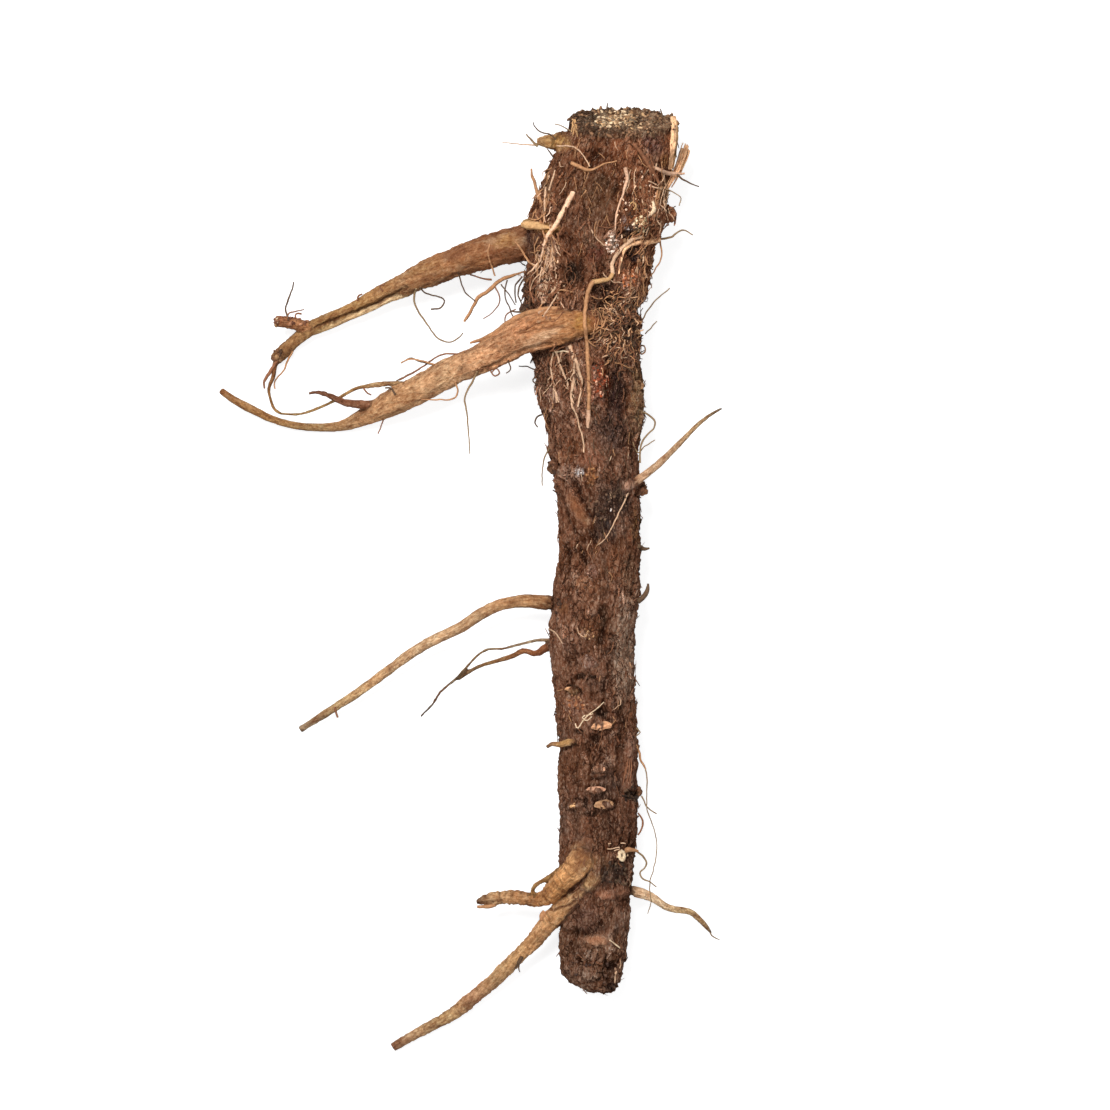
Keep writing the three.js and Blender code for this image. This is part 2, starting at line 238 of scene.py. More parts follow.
SIDE_WRINKLED = 0.25
TAPROOT_WRINKLED = 0.9
TAPROOT_SKIN = ["#6b4632"]
TAPROOT_STEP = 2.0
SIDE_STEP = 0.8
RUN_PER_ROOT = 40


def through(points, step, space=3):
    """A smooth line through the points, one sample every `step` along its first columns."""
    points = np.asarray(points, float)
    ends = np.vstack([2 * points[0] - points[1], points, 2 * points[-1] - points[-2]])
    dense = []
    for a, b, c, d in zip(ends, ends[1:], ends[2:], ends[3:]):
        for t in np.linspace(0, 1, 12, endpoint=False):
            bend = (2 * a - 5 * b + 4 * c - d) * t * t + (3 * b - a - 3 * c + d) * t**3
            dense.append(0.5 * (2 * b + (c - a) * t + bend))
    dense = np.array(dense + [points[-1]])
    gaps = np.linalg.norm(np.diff(dense[:, :space], axis=0), axis=1)
    run = np.concatenate([[0], np.cumsum(gaps)])
    at = np.linspace(0, run[-1], max(3, int(round(run[-1] / step)) + 1))
    return np.column_stack([np.interp(at, run, column) for column in dense.T])


class Lines:
    """Every root's line, sampled, with a frame at each sample that turns as little as it can."""

    def __init__(self):
        self.rows = []
        self.add(TAPROOT, TAPROOT_SKIN, 0, TAPROOT_STEP)
        for number, (stations, skins) in enumerate(SIDE_ROOTS.values(), 1):
            self.add(stations, skins, number, SIDE_STEP)
        rows = np.array(self.rows)
        wrinkled = [TAPROOT_WRINKLED] + [WRINKLED.get(name, SIDE_WRINKLED) for name in SIDE_ROOTS]
        self.centre, self.radius, self.run = rows[:, 0:3], rows[:, 3], rows[:, 4]
        self.along, self.across, self.above = rows[:, 5:8], rows[:, 8:11], rows[:, 11:14]
        self.skin, self.root = rows[:, 14:17], rows[:, 17].astype(int)
        self.wrinkled = np.array(wrinkled)[self.root]

    def add(self, stations, skins, number, step):
        """Samples one root and adds its rows: centre, radius, run, frame, skin and number."""
        line = through(stations, step)
        along = unit(np.gradient(line[:, :3], axis=0))
        across = np.cross(along[0], [0, 0, 1])
        share = np.linspace(0, len(skins) - 1, len(line))
        shades = np.array([colour(code) for code in skins])
        skin = np.column_stack([np.interp(share, range(len(skins)), c) for c in shades.T])
        run = RUN_PER_ROOT * number
        for i, row in enumerate(line):
            run += np.linalg.norm(row[:3] - line[max(i - 1, 0), :3])
            across = across - along[i] * (across @ along[i])
            across = across / np.linalg.norm(across)
            above = np.cross(across, along[i])
            self.rows.append([*row[:4], run, *along[i], *across, *above, *skin[i], number])


lines = Lines()
print(len(SIDE_ROOTS) + 1, "roots,", len(lines.root), "samples")

# %% [markdown]
# ## A fine, even mesh
#
# The plain root has long triangles, too coarse to carry bark. A copy is merged and voxel
# remeshed, which turns it into small even squares all over, joins included. The plain root
# itself stays as it is, and the copy takes its place in the picture.

# %% Remesh a copy
VOXEL = 0.36
MERGE_WITHIN = 0.00001


def pick(*objects):
    """Selects these objects and no others, and makes the first one active."""
    bpy.ops.object.select_all(action="DESELECT")
    for each in objects:
        each.select_set(True)
    bpy.context.view_layer.objects.active = objects[0]


def edit(step, everything=True, **settings):
    """One step in edit mode, on all of the active mesh or on what is selected in it."""
    bpy.ops.object.mode_set(mode="EDIT")
    if everything:
        bpy.ops.mesh.select_all(action="SELECT")
    step(**settings)
    bpy.ops.object.mode_set(mode="OBJECT")


def modify(name, kind, **settings):
    """Adds a modifier to the active object and applies it."""
    modifier = bpy.context.active_object.modifiers.new(name, kind)
    for setting, value in settings.items():
        setattr(modifier, setting, value)
    bpy.ops.object.modifier_apply(modifier=modifier.name)


def new_object(name, data):
    """An object in the scene, the only one selected."""
    made = bpy.data.objects.new(name, data)
    bpy.context.scene.collection.objects.link(made)
    pick(made)
    return made


root = new_object("root_bark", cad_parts["chicory_root"].data.copy())
root.data.materials.clear()
edit(bpy.ops.mesh.remove_doubles, threshold=MERGE_WITHIN)
modify("even squares", "REMESH", mode="VOXEL", voxel_size=VOXEL * MM)
modify("soften the facets", "SMOOTH", factor=0.5, iterations=4)
print(len(root.data.vertices), "vertices after remeshing")


def numbers(items, field, width=1):
    """A row of numbers for each item of a mesh."""
    flat = np.empty(width * len(items), np.float32)
    items.foreach_get(field, flat)
    return flat.reshape(-1, width).astype(float)


def corners(mesh):
    """The mesh's vertices and their normals, in the crown frame."""
    points = numbers(mesh.vertices, "co", 3) / MM - ORIGIN
    return points, numbers(mesh.vertex_normals, "vector", 3)


def move_corners(mesh, points):
    """Puts the mesh's vertices at points of the crown frame."""
    mesh.vertices.foreach_set("co", ((points + ORIGIN) * MM).astype(np.float32).ravel())
    mesh.update()


# %% [markdown]
# ## Coordinates that follow the grain
#
# Fibres run along a root, and wrinkles run round it. So each point gets three numbers from its
# own root's line: two across the root and one along it. Noise that is stretched in these
# numbers turns into grain that follows every bend.

# %% Grain coordinates
AT_ONCE = 4000


def near_lines(points):
    """For each point: its nearest sample, and its gap to the taproot's and side roots' skin."""
    nearest = np.empty(len(points), int)
    taproot_gap = np.empty(len(points))
    side_gap = np.empty(len(points))
    is_side = lines.root > 0
    squares = (lines.centre**2).sum(1)
    for start in range(0, len(points), AT_ONCE):
        rows = slice(start, start + AT_ONCE)
        part = points[rows]
        away = (part**2).sum(1)[:, None] + squares - 2 * part @ lines.centre.T
        gap = np.sqrt(np.maximum(away, 0)) - lines.radius
        nearest[rows] = gap.argmin(1)
        taproot_gap[rows] = gap[:, ~is_side].min(1)
        side_gap[rows] = gap[:, is_side].min(1)
    return nearest, taproot_gap, side_gap


def grain_of(points, nearest):
    """Across, above and along each point's own root, in millimetres."""
    offset = points - lines.centre[nearest]
    across = (offset * lines.across[nearest]).sum(1)
    above = (offset * lines.above[nearest]).sum(1)
    along = lines.run[nearest] + (offset * lines.along[nearest]).sum(1)
    return np.column_stack([across, above, along])


def clouds(points, size, layers=4, seed=0):
    """Layered noise, about -1 to 1. The size is in millimetres, or one for each axis."""
    spots = np.asarray(points) / size + 17.31 * seed
    value = np.array([noise.fractal(spot, 0.9, 2.1, layers) for spot in spots.tolist()])
    return value / (2.2 * value.std())


def drift(points, size, layers, seeds):
    """Layered noise in several directions, one for each seed."""
    return np.column_stack([clouds(points, size, layers, seed) for seed in seeds])


def scales(points, size, seed=0):
    """Bark scales: how far each point is from its scale's edge, and a random number each."""
    spots = np.asarray(points) / size + 9.7 * seed
    found = [noise.voronoi(spot) for spot in spots.tolist()]
    edge = np.array([distances[1] - distances[0] for distances, _ in found])
    middle = np.array([middles[0][:] for _, middles in found])
    lot = np.modf(np.abs(np.sin(middle @ [12.99, 78.23, 37.72])) * 43758.5)[0]
    return edge, lot


points, normals = corners(root.data)
nearest, taproot_gap, side_gap = near_lines(points)
grain = grain_of(points, nearest)
print("grain coordinates for", len(points), "points")

# %% [markdown]
# ## Bark relief
#
# Old bark has four sizes of relief: lumps as wide as a finger, scales split by cracks, ridges
# along the root and grit. Side roots have a thin skin with fine wrinkles instead. All of it
# moves the real surface, so the outline is rough too. Grooves, hollows and bumps that give
# this root its character are drawn on the plane and pressed in or raised.

# %% Grooves, bumps and hollows of this root
GROOVES = [
    # width, depth, route
    (0.8, 0.55, [(6.6, -178.8), (6.3, -186), (5.4, -193.2), (5.4, -199.5), (6.3, -205.2)]),
    (0.6, 0.5, [(8.4, -183), (7.2, -190.5), (8.1, -198)]),
    (0.9, 0.9, [(0.9, -148.8), (1.2, -159), (3.0, -167.4), (2.1, -172), (0.9, -177)]),
    (0.7, 0.8, [(0.3, -159.3), (-1.5, -161), (-3.9, -163.3), (-6, -163.8)]),
    (1.0, 1.0, [(-7.6, -112.5), (-6, -117.3), (-3.0, -123.5), (-1.4, -129)]),
    (0.7, 0.6, [(-12.3, -114.3), (-9.8, -122.7), (-6, -129.3)]),
    (0.9, 0.9, [(-2.7, -75.6), (2.1, -79.8), (3.0, -86.4), (2.4, -93.9)]),
    (0.9, 0.8, [(6, -75.6), (7.5, -83.7), (9.3, -93.9), (10.2, -103.5)]),
    (0.7, 0.7, [(8.7, -117), (9.3, -129.3), (8.4, -137)]),
    (0.7, 0.6, [(-14.1, -14.7), (-16.8, -22.8), (-19.5, -30.3)]),
    (1.1, 0.9, [(4.8, -22.8), (4.5, -33.3), (1.8, -39.3)]),
    (0.9, 0.9, [(11.4, -24.6), (13.2, -30), (14.4, -36.6)]),
    (0.9, 0.9, [(-5.4, -43), (-5.0, -48), (-5.6, -53.5)]),
    (0.6, 0.6, [(-9.9, -130.5), (-9, -140), (-9.6, -147)]),
    (0.6, 0.6, [(-6.2, -131), (-5.4, -134.6), (-4.6, -137)]),
    (0.6, 0.6, [(-7.5, -193), (-6.9, -203), (-8.1, -213)]),
    (0.6, 0.5, [(-3.2, -191), (-2.8, -195), (-3.4, -201)]),
    (0.7, 0.7, [(-1.5, -208.5), (-3.6, -213), (-3.9, -217.5)]),
    (0.6, 0.6, [(-7.0, -211.5), (-7.6, -216), (-6.8, -221)]),
    (0.8, 0.7, [(3.6, -240), (5.4, -247.5), (4.2, -257)]),
    (0.7, 0.8, [(-9, -247.2), (-5, -246.8), (0, -247.2)]),
    (0.7, 0.8, [(-7.4, -255), (-3, -256.4), (1, -255.6), (3.6, -257)]),
    (0.6, 0.8, [(0.6, -251.8), (1.8, -255), (1.2, -259.4)]),
    (0.7, 0.6, [(-6.6, -242), (-7.8, -251), (-5.4, -258)]),
]
BUMPS = [
    # x, y, width, height, how high
    (-2.3, -138.3, 4.8, 4.6, 1.0), (-5.3, -141.8, 5.6, 3.8, 0.9), (3.6, -142.5, 5, 5, 0.6),
    (-3.3, -165.9, 5.8, 4.4, 1.2), (-3.6, -156.9, 5.5, 3.4, 0.8), (-7.8, -178, 6.2, 6, 0.9),
    (-10.4, -108.4, 3.8, 3.8, 0.9), (-2.4, -109.6, 4.2, 7, 0.8), (-6.6, -108.9, 3, 3.4, 0.6),
    (7, -160, 8, 46, 0.5), (10.8, -86, 4.4, 24, 1.0),
    (-2.5, -150.5, 5, 4, 0.7), (-0.9, -249.4, 8.6, 3.8, 1.3), (-2, -255, 5.4, 5.4, 0.6),
    (1.8, -235.6, 6, 3.4, 1.1), (8.8, -194, 3.4, 24, 0.6), (0.4, -184.5, 8, 5, 0.8),
    (-0.6, -197.4, 6, 4, 0.6), (-1.4, -203.9, 8, 3.4, 0.6), (1.3, -208.2, 8, 5, 0.7),
    (-7.2, -208.7, 7, 3.6, 0.6), (6.1, -223.8, 5, 4.5, 0.9), (15.5, -31, 7, 9, 0.9),
    (8.8, -50.8, 6.4, 6.6, 1.1), (-14.6, -43, 4, 14, 0.8), (-17.2, -53.4, 5, 8, 0.9),
    (-2, -41.5, 13, 12, 0.6), (-0.2, -81.4, 5, 10, 0.7), (-13.6, -86, 4, 7, 0.6),
    (3.6, -39.6, 4.4, 6, 0.7), (12.1, -34.3, 5, 5, 0.7), (-4, -242, 7, 7, 0.4),
    (16, -10.4, 7, 9, 0.4), (-5.4, -252.8, 5, 4, 0.7), (-2.8, -259.6, 6.6, 4, 0.7),
    (3.4, -253.2, 3.6, 6, 0.7), (-7.4, -243.6, 4, 6, 0.6), (5.4, -242.8, 4, 7, 0.6),
]
HOLLOWS = [
    # x, y, width, height, how deep
    (10.3, -43.3, 4.4, 5.4, 1.5), (-8.4, -49.5, 5.4, 9, 1.5), (0.1, -180.9, 5, 3.4, 1.5),
    (-5.8, -170.4, 3.6, 2, 1.2), (-2.2, -170, 2.8, 2, 1.2), (-6.6, -186.8, 3.4, 2, 0.9),
    (9.6, -205.5, 4.4, 3.4, 1.4), (2.8, -119.8, 11, 14, 0.8), (4.6, -229, 9, 7, 0.7),
    (-1, -188.5, 4.6, 2.8, 0.9), (-0.5, -200.4, 7, 1.6, 0.7), (-2.4, -211.3, 9, 1.7, 0.7),
    (-0.3, -245, 7.5, 3.6, 0.8), (5.2, -84, 4, 15, 0.9), (-4.2, -207.8, 2, 5, 0.9),
    (1.5, -62, 5, 5, 0.8), (4.5, -57.5, 6, 4, 0.9), (0.5, -53.8, 8, 4, 0.9),
    (8.4, -37.4, 7, 4, 0.8), (-22.2, -38.2, 2.6, 5, 0.6),
]
FOLDS = [
    # x, y, width, height, turn, how high, colour
    (-3.0, -231.6, 7.4, 5.0, 42, 1.5, "#c49a6e"), (-5.6, -226.6, 12.5, 9.5, 42, 0.9, "#bd8c60"),
    (-6.4, -222.0, 9.5, 5.5, 30, 0.4, "#996f4e"), (8.8, -112.6, 5, 4.0, 20, 0.6, "#c0927a"),
    (-5.4, -63.4, 6.0, 6.4, 0, 0.5, "#b27e3e"), (-1.2, -64, 5, 8, 0, 0.3, "#8c4f33"),
    (-11.4, -149.2, 4, 4, 0, 0.3, "#7b5136"), (6.6, -234.6, 5, 3.6, 0, 0.5, "#845943"),
    (-13.0, -9.7, 9.6, 6.4, 0, 0.4, "#b88a55"), (-72, -87.4, 11, 5, 4, 0.35, "#875a42"),
    (-6.7, -120.2, 4.2, 15, 33, 0.9, "#8f5d40"), (-1.4, -249.2, 8.4, 3.3, 0, 0.8, "#b07d5f"),
    (1.6, -235.4, 5.4, 2.8, 0, 0.6, "#a8745a"), (-15.6, -35.4, 8, 3.4, 0, 0.5, "#99703f"),
    (-67, -82.6, 9, 3.6, 12, 0.3, "#b68f68"),
]
CREASES = [
    # width, depth, route
    (0.45, 1.0, [(-10.9, -236.2), (-8.5, -234.5), (-6.4, -233.1), (-4.6, -231), (-3.7, -229.3)]),
    (0.45, 0.8, [(-17.8, -239.7), (-13.6, -239.8), (-9.5, -238.6), (-7.5, -237.3)]),
    (0.40, 0.7, [(-31.2, -237.4), (-33.5, -237.8), (-36.4, -238)]),
    (0.40, 0.5, [(-23.6, -67.0), (-17, -65.4), (-11, -65.2)]),
    (0.40, 0.5, [(-14.5, -70.0), (-21, -71.0), (-28.5, -74.6), (-35, -77.4)]),
    (0.35, 0.4, [(-48.6, -46.6), (-55.5, -49.6), (-60.5, -51.5)]),
    (0.40, 0.5, [(-31, -44.4), (-39, -46.8), (-46.5, -50.6)]),
    (0.40, 0.9, [(-85.4, -65.2), (-78, -62.3), (-71.6, -59.9), (-64.3, -56.5), (-57.9, -53.4)]),
    (0.35, 0.8, [(-24, -66.4), (-19, -64.2), (-13.6, -62.9)]),
]
STUBS = [
    # x, y, width, height, how high, turn, colour
    (0.5, -184.5, 5.2, 2.9, 1.3, 6, "#cf9870"), (-0.4, -197.4, 3.5, 2.1, 1.0, 4, "#b58467"),
    (-1.3, -203.9, 4.8, 1.9, 1.0, 0, "#b8866a"), (1.3, -208.4, 5.0, 3.0, 1.2, 4, "#a57c5a"),
    (-7.4, -208.5, 4.4, 2.3, 1.8, 14, "#cf9f70"), (-8.2, -174.0, 3.2, 1.6, 0.8, 0, "#b98a64"),
    (-14.5, -107.3, 3.4, 4.4, 1.8, 0, "#60432f"), (13.0, -114.8, 2.8, 3.0, 1.4, 0, "#7a5238"),
    (11.6, -82.6, 2.8, 3.2, 0.9, 0, "#8a6648"), (-21.8, -54.4, 3.6, 3.2, 1.6, 0, "#402e24"),
    (-22.4, -59.8, 3.8, 4.2, 1.8, 0, "#4a3428"),
]
STUB_GAP_DEPTH = 0.7
RING_OUT = 0.5
RING_BREADTH = 0.22


def line_gap(spots, line):
    """How far each drawing-plane spot is from a line of points."""
    gap = np.full(len(spots), 99.0)
    for start, end in zip(np.array(line)[:-1], np.array(line)[1:]):
        run = end - start
        t = np.clip(((spots - start) @ run) / (run @ run), 0, 1)
        gap = np.minimum(gap, np.linalg.norm(spots - start - t[:, None] * run, axis=1))
    return gap


def turned(spots, x, y, turn):
    """How far right of a middle and above it each spot is, on axes turned by some degrees."""
    c, s = math.cos(math.radians(turn)), math.sin(math.radians(turn))
    right = (spots[:, 0] - x) * c + (spots[:, 1] - y) * s
    return right, (spots[:, 1] - y) * c - (spots[:, 0] - x) * s


def oval(spots, x, y, width, height, turn=0):
    """1 in the middle of an oval, falling to 0 just past its rim and staying there."""
    right, up = turned(spots, x, y, turn)
    return 1 - ramp(np.hypot(2 * right / width, 2 * up / height), 0.45, 1.15)


def ring(spots, x, y, width, height, turn=0):
    """1 just outside an oval's rim, falling to 0 on both sides."""
    right, up = turned(spots, x, y, turn)
    out = np.hypot(right / (width / 2 + RING_OUT), up / (height / 2 + RING_OUT))
    return np.exp(-(((out - 1) / RING_BREADTH) ** 2))


def drawn_relief(spots, facing):
    """The grooves, bumps and hollows, only on what faces the viewer."""
    spots = spots + 0.7 * drift(np.pad(spots, ((0, 0), (0, 1))), 3, 3, (1, 2))
    relief = np.zeros(len(spots))
    for width, depth, line in GROOVES:
        relief -= depth * np.exp(-((line_gap(spots, line) / width) ** 2))
    for x, y, width, height, rise in BUMPS:
        relief += rise * oval(spots, x, y, width, height)
    for x, y, width, height, depth in HOLLOWS:
        relief -= depth * oval(spots, x, y, width, height)
    for x, y, width, height, _, turn, _ in STUBS:
        relief -= STUB_GAP_DEPTH * ring(spots, x, y, width, height, turn)
    return relief * ramp(facing, 0.05, 0.35)


def folds_of(points, normals):
    """Where skin folds over the bark: how much, how high, and in what colour."""
    spots = seen(points) + 0.5 * drift(points, 2.2, 3, (30, 31))
    share = np.zeros(len(points))
    rise = np.zeros(len(points))
    shade = np.zeros((len(points), 3))
    for x, y, width, height, turn, lift, code in FOLDS:
        amount = oval(spots, x, y, width, height, turn) * ramp(normals[:, 2], 0.1, 0.4)
        rise += lift * amount
        shade = np.where((amount > share)[:, None], colour(code), shade)
        share = np.maximum(share, amount)
    return share, rise, shade


def creases_of(points, normals):
    """How deep each point lies in a crease of the skin, from 0 to the crease's depth."""
    spots = seen(points) + 0.25 * drift(points, 2.6, 3, (33, 34))
    deep = np.zeros(len(points))
    for width, depth, line in CREASES:
        deep = np.maximum(deep, depth * np.exp(-((line_gap(spots, line) / width) ** 2)))
    return deep * ramp(normals[:, 2], 0.05, 0.3)


print(len(GROOVES), "grooves,", len(BUMPS), "bumps,", len(HOLLOWS), "hollows")

# %% [markdown]
# ## The sawn crown
#
# The crown was sawn off slanting, and the wood inside dried and crumbled. Points of the cut
# face are those near the saw's plane that also face its way. The middle has sunk and is full
# of crumbs, and the bark stands round it as a ragged rim.

# %% The saw's plane
CUT_POINT = np.array([0, 2.7, 0])
CUT_NORMAL = np.array([0.0247, 0.9429, 0.3322])
CUT_MIDDLE = np.array([7.3, -3.5, 17.6])
CUT_RADIUS = 16.6
THICKEST_SKIN = 6
# How high each kind of bark relief stands, and how far the whole bark is set back.
LUMPS, RIDGES, FURROWS, SCALES = 0.55, 0.32, 0.22, 0.26
PLATES, SMALL_PLATES, GRIT, WRINKLES = 0.36, 0.18, 0.20, 0.11
BARK_SUNK = 0.3


def cut_place(points):
    """How far points stick out of the saw's plane, and their place across the cut face."""
    height = (points - CUT_POINT) @ CUT_NORMAL
    side = (points[:, 0] - CUT_MIDDLE[0]) / CUT_RADIUS
    rise = (points[:, 2] - CUT_MIDDLE[2]) / (0.95 * CUT_RADIUS)
    return height, np.hypot(side, rise), np.arctan2(rise, side)


def ragged(points, out):
    """The distance from the middle of the cut face, made uneven."""
    return out + 0.07 * clouds(points, 2.2, 3, 26)


def skin_of(points, taproot_gap, side_gap, folded, cut):
    """Where the surface is a side root's skin, from 0 on bark to 1 on skin."""
    edge = 0.6 * clouds(points, 2.4, 3, 3)
    skin = ramp(taproot_gap - side_gap + edge, -0.2, 1.5)
    return np.maximum(skin, folded) * (1 - cut)


def between(down, start, full, fade, end):
    """1 in a stretch of the root, with a smooth rise and fall at its two ends."""
    return ramp(down, start, full) * (1 - ramp(down, fade, end))


def bark_relief(points, normals, grain):
    """The height of bark, and the random number of each of its scales."""
    bent = grain + 1.1 * drift(points, 4, 2, (4, 5, 6))
    split, lot = scales(bent, [2.6, 2.6, 4.4], 1)
    fine_split, _ = scales(bent, [1.1, 1.1, 1.7], 2)
    ridges = 1 - 2 * np.abs(clouds(bent, [2.1, 2.1, 15], 3, 7))
    furrows = 1 - 2 * np.abs(clouds(bent, [1.0, 1.0, 6], 2, 8))
    down = -points[:, 1]
    wild = 0.75 + 0.45 * clouds(points, 14, 2, 9)
    wild += 0.5 * between(down, 40, 56, 92, 104)
    wild += 0.15 * ramp(down, 236, 252)
    bark = LUMPS * clouds(points, 8, 3, 10)
    bark += wild * (RIDGES * ridges + FURROWS * furrows + SCALES * (lot - 0.5))
    plates = PLATES * ramp(split, 0, 0.22) - 0.25 + SMALL_PLATES * ramp(fine_split, 0, 0.25)
    bark += wild * plates
    bark += GRIT * clouds(points, 1.0, 3, 11) + WRINKLES * clouds(grain, [5, 5, 1.1], 3, 12)
    return bark + (drawn_relief(seen(points), normals[:, 2]) - BARK_SUNK), lot


def skin_relief(points, normals, grain, nearest, fold_rise):
    """The height of a side root's skin: soft lumps, fine ridges, wrinkles and creases."""
    thickness = np.minimum(lines.radius[nearest], THICKEST_SKIN)
    wrinkled = lines.wrinkled[nearest] * (0.10 + 0.035 * thickness)
    smooth = fold_rise + 0.060 * thickness * clouds(points, [5, 5, 5], 2, 13)
    smooth += 0.045 * thickness * clouds(grain, [1.6, 1.6, 12], 3, 14)
    smooth += wrinkled * clouds(grain, [4, 4, 0.9], 3, 15)
    return smooth + (0.022 * thickness * clouds(points, 1.1, 3, 19) - creases_of(points, normals))


def wood_relief(points, out, turn, lot):
    """The height of the cut face: crumbs in rays, a sunk middle with pits and a ragged rim."""
    rays = np.column_stack([3.2 * np.cos(turn), 3.2 * np.sin(turn), out * 3])
    crumbs = 0.6 * clouds(points, 1.5, 4, 16) + 0.4 * clouds(rays, [0.5, 0.5, 3], 3, 17)
    pits = ramp(clouds(points, 3.2, 3, 18), 0.25, 0.8) * (1 - ramp(out, 0.7, 0.85))
    rim = ragged(points, out)
    wood = crumbs - 0.7 * (1 - ramp(rim, 0.6, 0.82)) - 1.3 * pits
    return wood + 0.8 * ramp(rim, 0.86, 0.98) * (lot - 0.3)


def relief_of(points, normals, grain, nearest, taproot_gap, side_gap):
    """How far each point of the surface is raised."""
    height, out, turn = cut_place(points)
    cut = ramp(height, -0.9, -0.25) * ramp(normals @ CUT_NORMAL, 0.35, 0.75)
    folded, fold_rise, _ = folds_of(points, normals)
    skin = skin_of(points, taproot_gap, side_gap, folded, cut)
    bark, lot = bark_relief(points, normals, grain)
    smooth = skin_relief(points, normals, grain, nearest, fold_rise)
    wood = wood_relief(points, out, turn, lot)
    return (bark + fold_rise) * (1 - skin) * (1 - cut) + smooth * skin + wood * cut


relief = relief_of(points, normals, grain, nearest, taproot_gap, side_gap)
points = points + normals * relief[:, None]
points[:, 2] = np.maximum(points[:, 2], 0)
move_corners(root.data, points)
carried = root.data.attributes.new("relief", "FLOAT", "POINT")
carried.data.foreach_set("value", relief.astype(np.float32))
print("relief from", relief.min().round(2), "to", relief.max().round(2), "mm")

# %% [markdown]
# ## Fewer triangles
#
# The mesh is now finer than it needs to be. Decimate merges the triangles that matter least,
# so flat stretches lose many of them and ridges keep theirs.

# %% Decimate
TRIANGLES = 196000
share_kept = TRIANGLES / (2 * len(root.data.polygons))
modify("fewer triangles", "DECIMATE", ratio=share_kept, use_collapse_triangulate=True)
bpy.ops.object.shade_smooth()
print(len(root.data.polygons), "triangles left")
